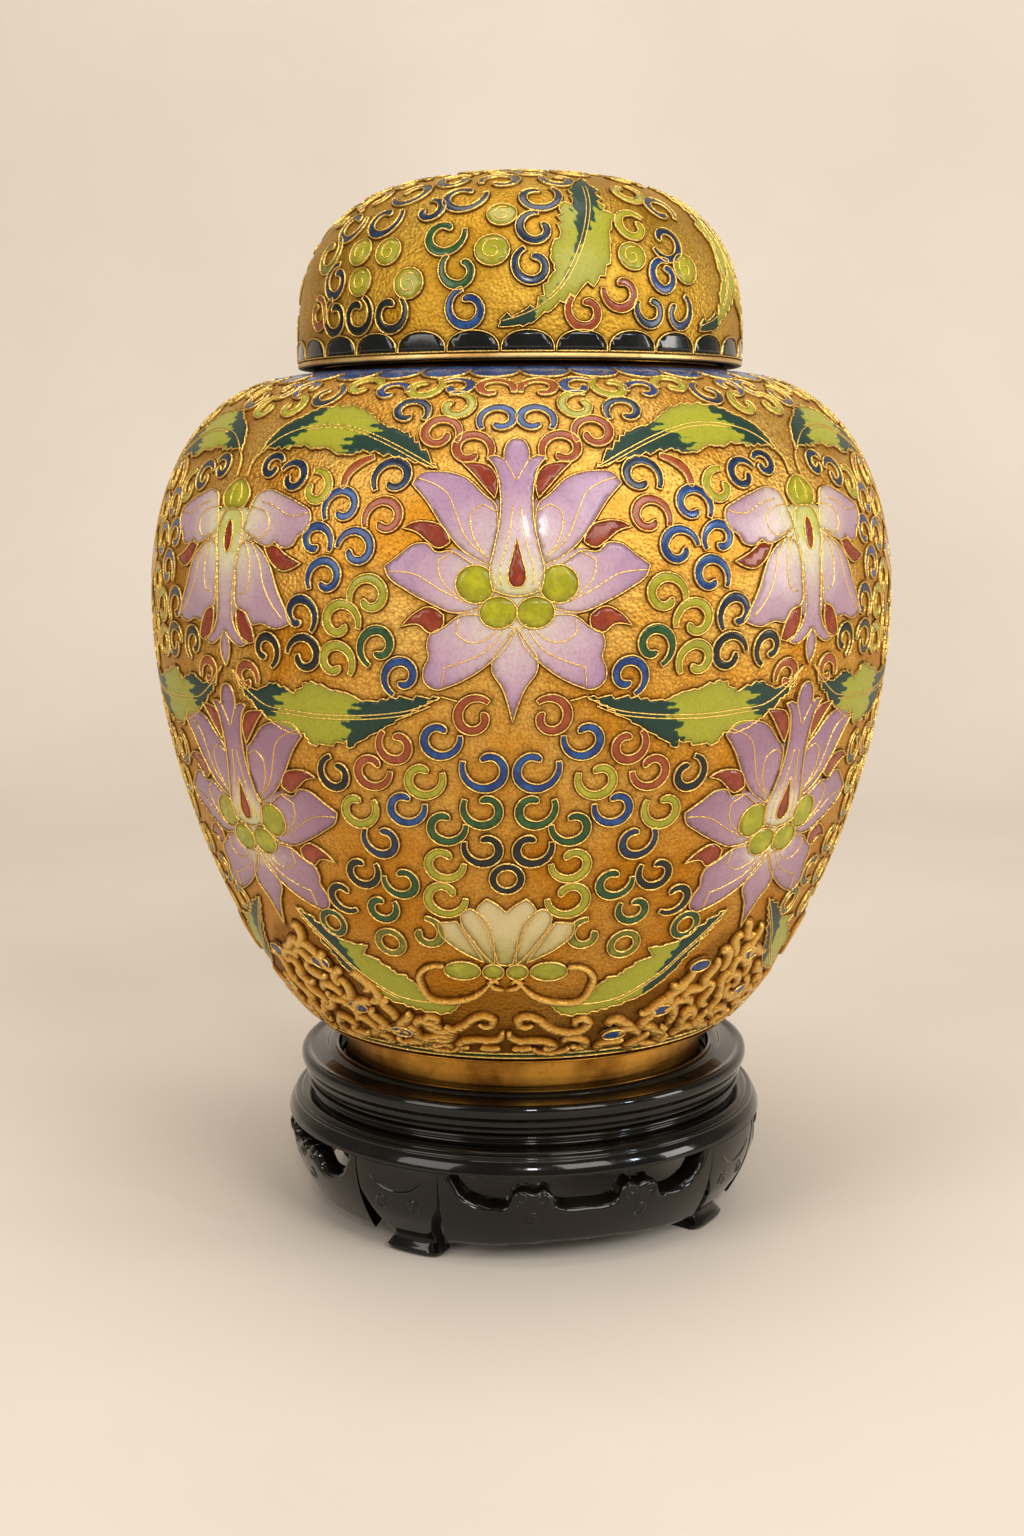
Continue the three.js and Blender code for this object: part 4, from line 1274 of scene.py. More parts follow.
# For each enamel: its look, its material slot and its colours, and mottle, roughness and coat where
# they aren't the usual ones.
ENAMELS = {
    "petals_lotus": ("lilac", "lilac", LILAC, 0.12, 0.26),
    "petals_low_lotus": ("lilac_low", "lilac", LOW_LILAC, 0.14, 0.26),
    "petals_blossom": ("lilac_pale", "lilac", BLOSSOM, 0.12, 0.26),
    "cream": ("cream", "cream", CREAM, 0.15),
    "red": ("red", "red", plain_stops("84301A", "9A4222")),
    "rust": ("rust", "red", plain_stops("8A3C1A", "A04E26")),
    "lime": ("lime", "lime", plain_stops("94921E", "ACA62E")),
    "lime_seeds": ("lime_seeds", "lime", plain_stops("96941A", "B0AA22")),
    "green": ("green", "green", plain_stops("1C4222", "2E5A2C")),
    "olive": ("olive", "green", plain_stops("5E6216", "80801E")),
    "blue": ("blue", "blue", plain_stops("14306A", "24508C")),
    "navy": ("navy", "blue", plain_stops("142238", "22385A")),
    "black": ("black", "black", plain_stops("0C1112", "1A2424")),
    "shoulder_band": ("shoulder", "blue", plain_stops("1E3864", "345890")),
    "lappets": ("lappet", "black", plain_stops("080A0A", "101416"), 0.1, 0.1, 0.5),
    "leaves": ("leaf", "green", LEAF, 0.3, 0.34, 0.08),
}
enamels = {key: (enamel_look("enamel_" + look, *finish), "enamel_" + slot)
           for key, (look, slot, *finish) in ENAMELS.items()}
# The CAD nodes that some of the pieces stand for.
JAR_NODES = {
    piece: [f"enamel_{flower}_{i + 1}" for i in range(len(QUARTERS))]
    for piece, flower in {"petals_lotus": "lotus", "petals_low_lotus": "low_lotus",
                          "petals_blossom": "blossom", "cream": "half_flower"}.items()
}
JAR_NODES["shoulder_band"] = ["jar_shoulder_band"]
LID_NODES = {"lappets": ["lid_lappet_band"]}


# ---- jar: shells ----
def nearest_distances(points, traces):
    """Distance in mm from each point to the nearest wire."""
    marks = np.concatenate(traces)
    tree = kdtree.KDTree(len(marks))
    for i, mark in enumerate(marks):
        tree.insert(mark, i)
    tree.balance()
    return np.array([tree.find(point)[2] for point in points])


FAR_FROM_WIRES = 99.0


def shell_with_patina_and_shade(outline, columns, traces, is_skin, olive=None, painted_strand_shade=None):
    """A turned shell whose skin is darkened near the wires by patina and painted shade."""
    piece = Piece()
    turned(piece, outline, columns)
    points = piece.points[0]
    away = np.full(len(points), FAR_FROM_WIRES)
    outer = is_skin(points)
    away[outer] = nearest_distances(points[outer], traces)
    # Patina and painted shade on the ground next to the wires.
    corner = 0.8 * np.exp(-np.maximum(away - 0.35, 0) / 0.38)
    crevice = corner + 0.1 * np.exp(-away / 2.5)
    # Painted shade between the puffed strands near the foot.
    if painted_strand_shade is not None:
        crevice = np.clip(crevice + painted_strand_shade(points), 0, 1)
    piece.values["crevice"] = [crevice]
    if olive is not None:
        piece.values["olive"] = [olive(points, away)]
    return piece


def lining(name, body, face, back, columns):
    """A thin coat of enamel on the inside of a shell."""
    piece = Piece()
    turned(piece, [*face, *back], columns)
    piece.make(name, body, "counter_enamel", counter_enamel)


def turned_pieces(body, rows):
    """Pieces turned on a lathe: name, finish, CAD node, ease of the corners, and outline of each."""
    for name, finish, cad_node, ease, outline in rows:
        piece = Piece()
        turned(piece, rounded(outline, ease), 256)
        piece.make(name, body, *finish, [cad_node], sharp=50)


def jar_skin_at(points, values):
    """A value of the skin below the belly, at the height of each point."""
    return np.interp(points[:, 2], jar_skin.heights[:BELLY_ROWS], values[:BELLY_ROWS])


JAR_INNER = -2.5         # from the skin to the inner face of the copper
JAR_OPENING = 54.9
BASE_HOLE, BASE_RIM = 48, 56
SKIN_DEPTH = 1.4         # points nearer than this to the skin belong to its outer face
NECK_REACH = 22          # everything this close below the shoulder's top counts as outside
body_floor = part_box("jar_body")[0].z / MM


def jar_shell():
    inside_top = jar_skin.length - 1
    outer = [jar_skin.section(s, GROUND) for s in np.linspace(0, jar_skin.length, 150)]
    inner = [jar_skin.section(s, JAR_INNER) for s in np.linspace(inside_top, 4, 26)]
    brim = outer[-1][1]
    sill = body_floor + 1.4
    outline = [(BASE_HOLE, body_floor), (BASE_RIM, body_floor), *outer, (JAR_OPENING, brim),
               (JAR_OPENING, brim - 1.8), *inner, (57.5, sill), (BASE_HOLE, sill)]

    def is_skin(points):
        radius = np.hypot(points[:, 0], points[:, 1])
        near = radius > jar_skin_at(points, jar_skin.radii) - SKIN_DEPTH
        return near | (points[:, 2] > SHOULDER[1] - NECK_REACH)

    def olive(points, away):
        """The ground turns olive towards the foot."""
        return np.clip((82 - points[:, 2]) / 14, 0, 0.35) * np.clip(away / 1.2, 0, 1)

    def painted_strand_shade(points):
        """Painted shade on the ground between the puffed strands near the foot."""
        azimuth = np.degrees(np.arctan2(points[:, 0], -points[:, 1]))
        below = up_to(azimuth, STRAND_SHADE_TO) - jar_skin_at(points, jar_skin.marks)
        return 0.4 * np.clip(below / 3, 0, 1)

    shell = shell_with_patina_and_shade(outline, 540, jar.traces, is_skin, olive, painted_strand_shade)
    shell.make("jar_ground", "jar", "gilt_ground", gilt, ["jar_body"])
    rows = np.linspace(6, jar_skin.length - 2.5, 60)
    lining("jar_lining", "jar", [jar_skin.section(s, JAR_INNER - 0.05) for s in rows],
           [jar_skin.section(s, JAR_INNER - 0.35) for s in rows[::-1]], 180)


NECK_BEAD = [(53.85 + 1.2 * math.cos(a), 252.3 + 1.2 * math.sin(a)) for a in np.linspace(0, math.pi, 14)]
JAR_METALWORK = [
    ("jar_neck", BRASS, "jar_neck_collar", 0.3,
     [(53.1, 230), (54.6, 230), (54.6, 252), (53.1, 252)]),
    ("jar_neck_bead", BRASS, "jar_neck_rim", 0.1, NECK_BEAD),
    # Tarnish and painted shade under the lid's rim.
    ("jar_neck_seat", TARNISH_AND_SHADE, "jar_seat_ring", 0.4,
     [(54.9, 232.6), (57.1, 232.6), (57.1, 234.4), (56.4, 235.2), (54.9, 235.2)]),
    ("jar_edge_wire", BRASS, "jar_border_wire", 0.3,
     [(51.8, 55.1), (58.9, 55.1), (59.5, 55.5), (58.9, 55.9), (51.8, 55.9)]),
    ("jar_foot", BRASS, "jar_foot_ring", 0.4,
     [(49.7, 40.8), (51.3, 40.8), (51.5, 42.2), (51.2, 43.2), (51, 44.2), (51, 55.9), (49.7, 55.9)]),
    ("jar_bottom", COPPER, "jar_base_plate", 0.25,
     [(0, 57.9), (20, 57.9), (54, 57.9), (54, 59.1), (0, 59.1)]),
]


# ---- lid ----
LID_RADIUS = 60.9
LID_BAND_TOP = 236.9
LID_DOME_Z = 241.5
LID_DOME_RISE = 44.9
LID_OUTER_INSET = 0.05
DOME_POWERS = (0.658, 0.773)    # under 1 the dome is squarer than an ellipse
LID_ROWS = 400


def dome_section(inset, steps):
    """Section of the dome, a squared-off quarter of an ellipse, inset from its outer face."""
    turn = np.linspace(0, math.pi / 2, steps)
    out, up = DOME_POWERS
    radius = (LID_RADIUS - inset) * np.clip(np.cos(turn), 0, 1) ** out
    height = LID_DOME_Z + (LID_DOME_RISE - inset) * np.sin(turn) ** up
    return np.stack([radius, height], axis=-1)


def even_rows(section, count):
    """The same section, with its points evenly spaced."""
    marks = marks_along(section)
    wanted = np.linspace(0, marks[-1], count)
    return np.stack([np.interp(wanted, marks, section[:, i]) for i in (0, 1)], axis=-1)


lid_wall = [(LID_RADIUS - LID_OUTER_INSET, z) for z in np.linspace(LID_BAND_TOP, LID_DOME_Z, 6)[:-1]]
lid_section = np.concatenate([lid_wall, dome_section(LID_OUTER_INSET, LID_ROWS)])
lid_skin = Skin(even_rows(lid_section, LID_ROWS))
LID_RIM_TO_BAND = 1.4    # the lid's distances are counted from its lower edge

lid = Ornament()

LID_LEAF = dict(
    outline=[(-18.3, -22.6), (-14.9, -21.4), (-9.1, -19.7), (-6.9, -16.9), (-5.7, -12.9),
             (-3.4, -10.9), (-4.6, -6.6), (-1.7, -0.9), (-0.6, 7.1), (2.9, 10), (2.9, 14),
             (5.1, 18.6), (8, 23), (10.3, 15.1), (10.9, 7.7), (13.7, 4.9), (11.4, -0.9),
             (10.9, -7.1), (8, -12.3), (3.4, -15.1), (-0.6, -17.4), (-5.1, -20.3), (-12, -24.3),
             (-17.7, -24)],
    midrib=[(8, 16.9), (7.4, 8.3), (5.1, -0.9), (1.7, -8.9), (-2.3, -15.1), (-9.1, -20.3),
            (-17.1, -23.1)],
)
LID_LEAF_TEETH = (4.2, 1.7)
LID_RIB_APART = (-1.0, 0)
# Ornament of half the lid, drawn again on the other half. Each group is drawn about an azimuth, 32 mm
# up the lid: (across, up, radius, direction of the tail, sweep, enamel).
LID_GROUP_HEIGHT = 32
LID_FRONT = [
    (-23.7, 12, 5, 20, -290, "navy"), (-5.1, 11.7, 4.8, 50, -290, "navy"),
    (-7.4, 0.9, 4.1, 80, 280, "navy"), (-30.3, -1.1, 4.6, 20, -290, "green"),
    (-34, 7.6, 3.4, 100, -250, "navy"), (-27.7, -10, 4.2, 130, 260, "green"),
    (-9.4, -9.2, 4.1, 110, 300, "navy"), (-26.1, -19.7, 4.3, 100, 330, "blue"),
    (3.4, -20.5, 4, 130, 290, "rust"), (13, -15.6, 4.2, 170, 260, "rust"),
    (21.7, -19.7, 3.8, 150, 260, "navy"), (26.6, -11.1, 3.7, 60, 340, "blue"),
    (18.3, 2.2, 3.9, 30, 320, "lime"), (28.2, -2.4, 4.4, 200, 290, "navy"),
    (31.4, -19.7, 4, 60, -250, "navy"), (29.6, 8.6, 4.2, 320, 290, "navy"),
    (-13.5, 20.4, 4.4, 200, -290, "navy"), (-24.5, 22.4, 4.2, 60, 300, "navy"),
    (1.2, 21.4, 3.6, 140, 280, "navy"), (19.6, 15.4, 4.2, 60, -290, "lime"),
    (-3.8, 29.6, 4.2, 40, 290, "navy"), (-16, 31, 4.2, 210, -280, "blue"),
    (9.4, 31.5, 4.2, 120, 280, "rust"), (24.5, 25.5, 4, 300, 290, "lime"),
]
LID_FRONT_DISCS = [(-18.9, -5.4, 4.4), (-15.4, 4.9, 3.8), (17.1, -6.6, 3.9), (34.4, -9, 4.3)]
LID_SIDE = [
    (-0.4, 5.1, 4.6, 40, -300, "navy"), (-13, 4.7, 4.5, 30, -310, "navy"),
    (1.7, 15.5, 4.6, 200, 300, "navy"), (-19.5, -3.4, 4.4, 70, -320, "olive"),
    (-13.7, -11, 4, 80, 340, "navy"), (-13.4, -20.2, 4.1, 100, 340, "black"),
    (-3.4, -20.2, 4.2, 70, -330, "black"), (7.4, -20.2, 4.2, 50, -310, "black"),
    (-11, 14.4, 4.3, 250, -280, "rust"), (-21, 9.5, 4.1, 20, 280, "lime"),
    (-21.6, -18.8, 3.6, 110, -330, "rust"), (-5.6, 24.4, 4.2, 20, 290, "olive"),
    (-17.6, 21.4, 3.9, 160, 280, "navy"),
]
LID_SIDE_DISCS = [(-5.4, -4, 3.9), (4.4, -4.6, 3.9), (-3.6, -12, 3.9), (12.2, -13.2, 4.2)]
LID_GAP = [
    (0, -20.2, 4.1, 90, 330, "black"), (0.4, -10.8, 4.1, 200, -290, "lime"),
    (0, -1.4, 4.1, 20, 290, "navy"), (-0.4, 8, 4.1, 160, -280, "rust"), (0, 17.4, 4, 300, 290, "navy"),
]
# (azimuth, mirror, scrolls, discs) of each group.
LID_GROUPS = [
    (12, 1, LID_FRONT, LID_FRONT_DISCS), (-39, 1, LID_SIDE, LID_SIDE_DISCS), (89, 1, LID_GAP, []),
    (-97, 1, LID_GAP, []),
]
LID_LEAVES = [(12, 1), (66, 1), (-74, -1)]
LID_HALVES = (0, 180)
LID_CROWN_FROM = 62
LID_CROWN_ROWS = [(72, 12, 4.1), (81.5, 6, 4.1)]     # mm from the rim, scrolls, radius
CROWN_RING = 3.4
CROWN_SHIFT = 11         # degrees between the first scrolls of two rows
DISC_FLAT = 0.94         # height of a disc against its width
DISC_SPIRAL = 0.66       # radius of its spiral against its own
CROWN_COLOURS = ("navy", "lime", "rust", "blue")


def lid_place(azimuth, from_rim, mirror=1):
    kind = CrownPlace if from_rim > LID_CROWN_FROM else Place
    return kind(lid_skin, mirror * azimuth, from_rim - LID_RIM_TO_BAND, mirror)


def spiral_disc(place, radius):
    """A round of lime enamel with a spiral wire in it."""
    line = oval(0, 0, radius, radius * DISC_FLAT)
    lid.fill(place, line, "lime", spacing=1.5)
    lid.wire(place, line, True, "lid_wires")
    lid.wire(place, spiral(0, 0, radius * DISC_SPIRAL, 60, 420), False, "lid_wires")


def draw_lid_group(azimuth, mirror, scrolls, discs):
    def group_place(x, y):
        radius = lid_skin.radius(LID_GROUP_HEIGHT - LID_RIM_TO_BAND + min(y, 24))
        return lid_place(mirror * azimuth + math.degrees(x / radius), LID_GROUP_HEIGHT + y, mirror)

    for x, y, radius, tail, turn_angle, colour in scrolls:
        line = scroll_line(radius, tail, turn_angle, OPEN_SCROLL)
        band(lid, group_place(x, y), line, colour, "lid_wires")
    for x, y, radius in discs:
        spiral_disc(group_place(x, y), radius)


def draw_lid_ornament():
    for half in LID_HALVES:
        for azimuth, mirror, scrolls, discs in LID_GROUPS:
            draw_lid_group(azimuth + half, mirror, scrolls, discs)
        for azimuth, mirror in LID_LEAVES:
            place = lid_place(mirror * (azimuth + half), LID_GROUP_HEIGHT, mirror)
            draw_leaf(lid, place, LID_LEAF, "lid_wires", lid_leaf_shade, LID_LEAF_TEETH, 0,
                      LID_RIB_APART)
    for row, (from_rim, count, radius) in enumerate(LID_CROWN_ROWS):
        for i in range(count):
            place = lid_place(360 * i / count + CROWN_SHIFT * row, from_rim)
            colour = CROWN_COLOURS[(i + row) % len(CROWN_COLOURS)]
            band(lid, place, scroll_line(radius, 40 + 70 * i, 290 * (-1) ** i), colour, "lid_wires")
    ring_band(lid, CrownPlace(lid_skin, 0, lid_skin.length), CROWN_RING, "navy", "lid_wires")
    draw_lappets()


def lid_leaf_shade(flat):
    """Dark green over the top and down beside the midrib, and at the tip."""
    x, y = flat.T
    rib = np.array(sorted((b, a) for a, b in smooth_line(LID_LEAF["midrib"], step=2.0))).T
    from_rib = np.abs(x - np.interp(y, *rib) + 1.2)
    strokes = 1.1 * np.sin(2.3 * x + 0.7 * y) + 0.8 * np.sin(1.7 * y + 2.1 * x)
    strokes = strokes * np.interp(y, [-6, 8], [0.15, 1])
    reach = np.interp(y, [-18, -4, 8, 16, 22], [0.2, 0.6, 3.4, 5.5, 6.5])
    return np.clip((reach + strokes - from_rib) / 1.6 + 0.4, 0, 1) + (x < -9)


LAPPETS = 28
LAPPET_PHASE = 1.9
LAPPET_FOOT = 0.35
LAPPET_RISE = 5.1
LAPPET_ROUND = 0.75
LAPPET_CLEAR = 0.25


def draw_lappets():
    half = math.pi * LID_RADIUS / LAPPETS - LAPPET_CLEAR
    for i in range(LAPPETS):
        place = Place(lid_skin, LAPPET_PHASE + 360 * i / LAPPETS, LAPPET_FOOT)
        arc = [(half * math.cos(a), LAPPET_RISE * math.sin(a) ** LAPPET_ROUND)
               for a in np.linspace(0, math.pi, 11)]
        lid.cell(place, arc, "lappets", "lid_wires", spacing=1.5)


def lid_shell():
    outer = [lid_skin.section(s, GROUND) for s in np.linspace(0, lid_skin.length, 110)][1:-1]
    crown = lid_skin.section(lid_skin.length, GROUND)[1]
    inner = even_rows(dome_section(2.15, 200), 30)
    foot = LID_BAND_TOP + 0.3
    outline = [(58.75, foot), (60.2, foot), *outer, (0, crown), (0, inner[-1, 1]), *inner[-2::-1]]

    def is_skin(points):
        radius = np.hypot(points[:, 0], points[:, 1])
        return radius > np.interp(points[:, 2], inner[:, 1], inner[:, 0]) + 0.6

    shell = shell_with_patina_and_shade(outline, 360, lid.traces, is_skin)
    shell.make("lid_ground", "lid", "gilt_ground", lid_gilt, ["lid_dome"])
    lining("lid_lining", "lid", even_rows(dome_section(2.2, 200), 40),
           even_rows(dome_section(2.5, 200), 40)[::-1], 160)


LID_METALWORK = [
    ("lid_rim", BRIGHT_BRASS, "lid_rim_band", 0.2,
     [(59.4, 235.5), (60.6, 235.5), (60.95, 235.8), (60.95, 236.6), (60.7, 236.9), (59.4, 236.9)]),
    # Tarnish and painted shade under the lid's rim.
    ("lid_inner_sleeve", TARNISH_AND_SHADE, "lid_sleeve", 0.3,
     [(55.2, 235.5), (59.1, 235.5), (59.1, 236.6), (56.3, 236.6), (56.3, 244.5), (55.2, 244.5)]),
]


# ---- stand ----
FOOT_AZIMUTHS = (-30.5, 59.5, 149.5, 239.5)
FOOT_HALF = 11.0
SEAM = 0.07              # degrees between a foot and the panel beside it
PANEL_HALF = 45 - FOOT_HALF - SEAM
LEG_TOP = 27.1
BULGE_RADIUS = 68
BULGE_AT = 26.7
WALL_DRAWN_IN = 9.5      # by 25 mm below the bulge


def wall_radius(z):
    """Outer radius of the carved wall, which swells under the waist and draws in to the floor."""
    return BULGE_RADIUS - WALL_DRAWN_IN * np.maximum(0, (BULGE_AT - z) / 25) ** 2


wall_heights = np.linspace(0, LEG_TOP, 80)
wall_skin = Skin(np.stack([wall_radius(wall_heights), wall_heights], axis=-1))

STAND_RINGS = [
    ("stand_rim", LACQUER, "stand_top_ring", 0.5,
     [(53.1, 40.8), (57.5, 40.8), (57.5, 36.6), (61.8, 36.6), (62, 37.6), (62.3, 38.4), (62.9, 38.9),
      (62.9, 39.4), (63, 40), (63.4, 40.8), (63.9, 41.6), (64.2, 42.6), (64.1, 43.7), (63.7, 44.5),
      (63, 44.9), (62.1, 44.85), (61.4, 44.4), (60.8, 44.2), (58.6, 44.5), (57, 44.8), (56.6, 45.1),
      (56.2, 45.7), (55.4, 46.1), (54.4, 46.1), (53.5, 45.7), (53.1, 44.8)]),
    ("stand_waist", LACQUER, "stand_waist_ring", 0.5,
     [(50, 33.2), (61.3, 33.2), (60.8, 33.5), (60.5, 34), (60.9, 34.4), (60.5, 34.8), (61, 35.1),
      (61.9, 35.2), (62.4, 35.6), (62.3, 36.1), (61.9, 36.3), (50, 36.3)]),
    ("stand_apron", LACQUER, "stand_apron_ring", 0.5,
     [(57, 27.15), (67.9, 27.15), (68, 27.3), (67.9, 28), (67.6, 29), (67.1, 30), (66.5, 30.7),
      (66.2, 31), (66.3, 31.5), (65.9, 32), (65.2, 32.2), (64.8, 31.9), (64.5, 32.4), (63.9, 32.9),
      (57, 32.9)]),
    ("stand_seat", LACQUER, "stand_seat_panel", 0.3,
     [(0, 36.6), (30, 36.6), (57.2, 36.6), (57.2, 40.5), (30, 40.5), (0, 40.5)]),
]


RAIL_TOP = 18.0
RAIL_BOTTOM = 5.0
PANEL_DEPTH = 6.0
PANEL_SPACING = 0.95     # between the points of a panel's face
EDGE_ROUND = 1.5
EDGE_FALL = 0.7          # depth of the rounding against its width
KNOB_AT = 12.8
KNOB_HALF = 5.6
KNOB_TOP = 23.6


# Half of a pierced panel, in degrees from its middle and height: rail, knob and end post.
PANEL_OUTLINE = [
    (0, RAIL_BOTTOM + 1.6), (10, RAIL_BOTTOM + 1.2), (22, RAIL_BOTTOM + 0.3),
    (PANEL_HALF, RAIL_BOTTOM), (PANEL_HALF, LEG_TOP), (PANEL_HALF - 2.4, LEG_TOP),
    (PANEL_HALF - 3, 25.4), (PANEL_HALF - 4.1, 23), (PANEL_HALF - 6, 20.4),
    (PANEL_HALF - 9, 18.6), (22, RAIL_TOP - 0.1), (KNOB_AT + KNOB_HALF, RAIL_TOP + 0.6),
    (KNOB_AT + 4.6, 21.6), (KNOB_AT + 2.8, 23.2), (KNOB_AT + 1, KNOB_TOP - 0.5),
    (KNOB_AT - 0.6, KNOB_TOP - 1.1), (KNOB_AT - 2.6, KNOB_TOP), (KNOB_AT - 4.6, 22),
    (KNOB_AT - KNOB_HALF, RAIL_TOP + 0.6), (5, RAIL_TOP - 0.3), (0, RAIL_TOP - 0.4),
]
# Curls carved on a knob: mm from its middle, height, radius, direction of the tail, sweep.
PANEL_CURLS = [(-2.9, 20.9, 2.1, 250, -430), (2.9, 20.6, 1.9, -70, 430), (0, 15.6, 2.6, 200, 300)]
POST_CURVE = slice(5, 12)   # the points of it round the opening beside the end post
WALL_MM = math.radians(1) * BULGE_RADIUS    # mm for each degree round the wall


def rounded_lift(away, edge):
    """How far a carved face falls towards its edge."""
    inward = np.clip(away / edge, 0, 1)
    return -edge * EDGE_FALL * (1 - np.sqrt(np.clip(1 - (1 - inward) ** 2, 0, 1)))


def wall_flat(points):
    """(degrees, height) on the wall as flat millimetres."""
    return np.asarray(points, float) * (WALL_MM, 1)


def wall_spread(azimuth, flat):
    """Azimuth and distance up the wall of flat points."""
    distance = np.interp(flat[:, 1], wall_skin.heights, wall_skin.marks)
    return azimuth + flat[:, 0] / WALL_MM, distance


RIDGE_SECTION = np.array([
    (-0.9, -0.5), (-0.55, 0.12), (0, 0.38), (0.55, 0.12), (0.9, -0.5), (0, -0.9),
])
CARVED_WIDTH = 0.8       # of most ridges, against RIDGE_SECTION
RIDGE_WIDTH = ([0, 0.1, 0.9, 1], [0.35, 1, 1, 0.35])


def ridge(piece, azimuth, line, lift, scale):
    """A raised carved line on the stand's wall."""
    turn, distance = wall_spread(azimuth, line)
    path = wall_skin.at(turn, distance, lift)
    sweep(piece, path, wall_skin.normal(turn, distance), RIDGE_SECTION * scale, False,
          along(line, *RIDGE_WIDTH))


def fret_panel(index, azimuth):
    piece = Piece()
    line = smooth_line(mirrored_half(wall_flat(PANEL_OUTLINE)), closed=True, step=1.0)
    corners, triangles = triangulated(line, PANEL_SPACING)
    seam = wall_flat([(PANEL_HALF - 0.4, LEG_TOP - 0.4)])[0]
    carved = line[(np.abs(line[:, 0]) < seam[0]) & (line[:, 1] < seam[1])]
    fall = rounded_lift(gap(corners, carved), EDGE_ROUND)
    turn, distance = wall_spread(azimuth, corners)
    upper = wall_skin.at(turn, distance, fall)
    lower = wall_skin.at(turn, distance, -PANEL_DEPTH - fall * 0.5)
    close_slab(piece, upper, lower, triangles)
    for side in SIDES:
        for x, *curl in PANEL_CURLS:
            ridge(piece, azimuth, spiral(side * WALL_MM * KNOB_AT + x, *curl), 0.0, CARVED_WIDTH)
        edge = wall_flat([(side * a, z) for a, z in PANEL_OUTLINE[POST_CURVE]]) - (side * 1.1, 0)
        beside = smooth_line(edge + (side * 2.4, -0.6), step=1.0)
        ridge(piece, azimuth, beside, -0.1, 0.7)
    piece.make(f"stand_panel_{index}", "stand", *LACQUER, [f"stand_fret_{index}"], sharp=55)


FOOT_FACE = [
    (59.6, 0), (60.6, 0.5), (60.9, 1.5), (60.2, 2.6), (59.4, 3.6), (59.6, 4.8), (61.2, 6.6),
    (63.2, 9.6), (65, 12.6), (66.6, 17), (67.6, 21.5), (68, 25), (68, LEG_TOP),
]
FOOT_BACK = [(59, LEG_TOP), (58.4, 22), (57.6, 16), (56.2, 9), (54.6, 5), (52.6, 2.4), (52, 0)]


# Half the foot's width in degrees, by height: a broad knee, a narrow ankle and a spread toe.
FOOT_WIDTH = ([0, 1.5, 3.6, 7, 13, 18, 27], [7.6, 8.0, 6.6, 6.7, 8.4, 10.6, FOOT_HALF])
FOOT_EDGE = ([5, 9], [1.7, 0.2])    # how far its edges fall away, by height
FOOT_STATIONS = 25
KNEE_LINE = [(-7, 23.4), (-4, 20.6), (0, 19.6), (4, 20.6), (7, 23.4)]


def carved_foot(index, azimuth):
    """A cabriole foot: its section carried round its width, with the edges rounded off."""
    face, back = smooth_line(FOOT_FACE), smooth_line(FOOT_BACK, step=1.2)
    outline = np.concatenate([face, back])
    fronted = np.concatenate([np.ones(len(face)), np.zeros(len(back))])
    half_angle = np.interp(outline[:, 1], *FOOT_WIDTH)
    edge_depth = np.interp(outline[:, 1], *FOOT_EDGE)
    stations = np.sin(np.linspace(-math.pi / 2, math.pi / 2, FOOT_STATIONS))
    points = []
    for t in stations:
        fall = (1 - math.sqrt(max(0, 1 - t ** 6))) * edge_depth
        points.append(round_axis(outline[:, 0] - fall * fronted,
                                 np.radians(azimuth + t * half_angle), outline[:, 1]))
    grid = np.arange(len(stations) * len(outline)).reshape(len(stations), -1)
    here, ahead = grid[:-1], grid[1:]
    quads = np.stack([here, ahead, np.roll(ahead, -1, 1), np.roll(here, -1, 1)], -1).reshape(-1, 4)
    end_faces = filled(outline)
    piece = Piece()
    piece.add(np.concatenate(points), quads,
              np.concatenate([end_faces[:, ::-1], end_faces + grid[-1][0]]))
    carved = [smooth_line(wall_flat(KNEE_LINE))]
    carved += [spiral(side * 5.2, 15.4, 2.4, 90 + side * 60, -side * 420) for side in SIDES]
    for line in carved:
        ridge(piece, azimuth, line, -0.05, CARVED_WIDTH)
    piece.make(f"stand_leg_{index}", "stand", *LACQUER, [f"stand_foot_{index}"], sharp=50)


def filled(outline):
    """Triangles between the corners of a flat closed outline."""
    found = geometry.delaunay_2d_cdt([Vector(p) for p in outline], rim_edges(outline), [], 1, 1e-6)
    origin = {new: old[0] for new, old in enumerate(found[3]) if old}
    return anticlockwise(outline, np.array([[origin[i] for i in face] for face in found[2]]))


def build_stand():
    turned_pieces("stand", STAND_RINGS)
    for i, azimuth in enumerate(FOOT_AZIMUTHS, start=1):
        carved_foot(i, azimuth)
        fret_panel(i, azimuth + 45)
        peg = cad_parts[f"stand_foot_peg_{i}"]
        peg.data.materials.clear()
        peg.data.materials.append(peg_wood)


# ---- assembling ----
def make_ornament(ornament, body, wire_look, nodes):
    """Makes the gathered pieces of a body."""
    for name, piece in ornament.pieces.items():
        look, slot = enamels.get(name, (wire_look, "gilt_ground"))
        piece.make(f"{body}_{name}", body, slot, look, nodes.get(name, ()))


draw_jar_ornament()
make_ornament(jar, "jar", gilt, JAR_NODES)
jar_shell()
turned_pieces("jar", JAR_METALWORK)
draw_lid_ornament()
make_ornament(lid, "lid", lid_gilt, LID_NODES)
lid_shell()
turned_pieces("lid", LID_METALWORK)
build_stand()


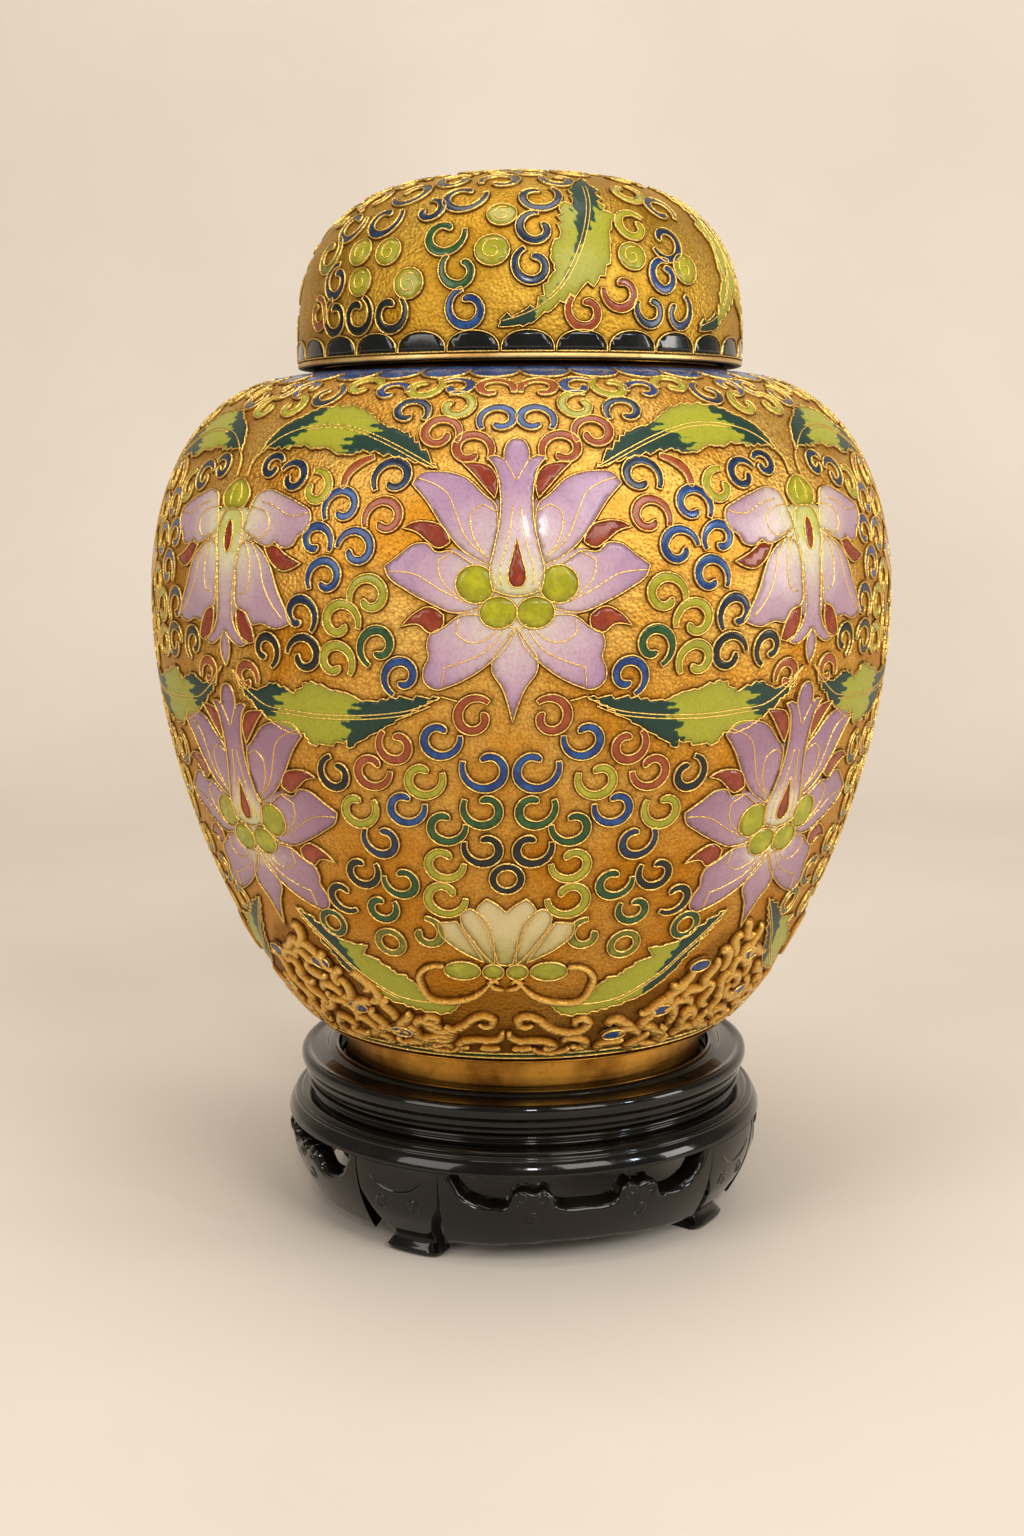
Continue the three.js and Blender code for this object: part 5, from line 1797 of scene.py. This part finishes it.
# ---- floor, backdrop, light and camera ----
def stage_sheet():
    """A pale sweep: floor in front, curving up to a backdrop behind."""
    near_half, far_half = 1.5, 3.0
    front, back, height, bend = -1.9, 1.1, 2.6, 0.5
    profile = [(front, 0.0), (back - bend, 0.0)]
    profile += [(back - bend + bend * math.sin(a), bend - bend * math.cos(a))
                for a in np.linspace(0.1, math.pi / 2, 14)]
    profile.append((back, height))
    halves = [near_half] + [far_half] * (len(profile) - 1)
    points = [(side * half, y, z) for half, (y, z) in zip(halves, profile) for side in (-1, 1)]
    faces = [(2 * i, 2 * i + 1, 2 * i + 3, 2 * i + 2) for i in range(len(profile) - 1)]
    mesh = bpy.data.meshes.new("stage_sweep")
    mesh.from_pydata(points, [], faces)
    mesh.shade_smooth()
    look, tree, shader = new_look("stage_paper", Roughness=0.6)
    paper = ramp(tree, noise(tree, 3, 4), [(0.3, "CFC5B8"), (0.7, "D8CEC2")])
    connect(tree, shader, Base_Color=paper)
    mesh.materials.append(look)
    sweep_object = placed("stage_sweep", mesh)


def area_light(name, place, aim, size, power, colour):
    data = bpy.data.lights.new(name, "AREA")
    data.shape = "RECTANGLE"
    data.size, data.size_y = size
    data.energy = power
    data.color = colour
    lamp = placed(name, data)
    lamp.location = place
    lamp.rotation_euler = (Vector(aim) - Vector(place)).to_track_quat("-Z", "Y").to_euler()


# Name, place, aim, size, power in watts and colour of each light.
LIGHTS = [
    ("key", (0.9, -1.5, 1.3), (0, 0, 0.16), (0.8, 1.0), 18.5, (1.0, 0.94, 0.86)),
    ("fill", (-1.3, -1.2, 0.9), (0, 0, 0.15), (0.9, 1.1), 14, (1.0, 0.95, 0.9)),
    ("window", (0.12, -1.7, 0.95), (0, 0, 0.12), (0.14, 0.22), 5.0, (0.96, 0.98, 1.0)),
    ("side", (1.7, -0.42, 0.48), (0, 0, 0.13), (0.5, 0.6), 9, (1.0, 0.97, 0.92)),
    ("side_window", (1.3, -0.92, 0.8), (0, 0, 0.05), (0.1, 0.2), 3.5, (0.72, 0.86, 1.0)),
    ("top", (0.0, -0.2, 1.9), (0, 0, 0.2), (1.2, 1.2), 18, (1.0, 0.96, 0.9)),
]


def studio():
    """Soft light, and a world that is seen as a pale wall but lights the scene more dimly."""
    world = bpy.data.worlds.new("studio")
    world.use_nodes = True
    tree = world.node_tree
    lighting = tree.nodes["Background"]
    lighting.inputs["Color"].default_value = hex_colour("F0EAE0")
    lighting.inputs["Strength"].default_value = 0.27
    wall = node(tree, "Background", {"Color": "E2D2BE", "Strength": 1.0})
    seen = node(tree, "LightPath").outputs["Is Camera Ray"]
    mixed = node(tree, "MixShader", {0: seen, 1: lighting.outputs[0], 2: wall.outputs[0]})
    tree.links.new(mixed.outputs[0], tree.nodes["World Output"].inputs["Surface"])
    bpy.context.scene.world = world
    for light in LIGHTS:
        area_light(*light)


def photo_camera():
    """The view of the photograph: just above the belly, a little downward."""
    data = bpy.data.cameras.new("view")
    data.sensor_width = 36.0
    data.lens = 46.406
    camera = placed("view", data)
    camera.location = (0.0, -0.5577, 0.2105)
    pitch, yaw, roll = math.radians(-8.82), math.radians(0.29), math.radians(0.35)
    forward = Vector((-math.sin(yaw) * math.cos(pitch), math.cos(yaw) * math.cos(pitch),
                      math.sin(pitch)))
    facing = forward.to_track_quat("-Z", "Y").to_matrix()
    camera.rotation_euler = (facing @ Matrix.Rotation(-roll, 3, "Z")).to_euler()
    bpy.context.scene.camera = camera


stage_sheet()
studio()
photo_camera()
bpy.context.scene.view_settings.view_transform = "Standard"
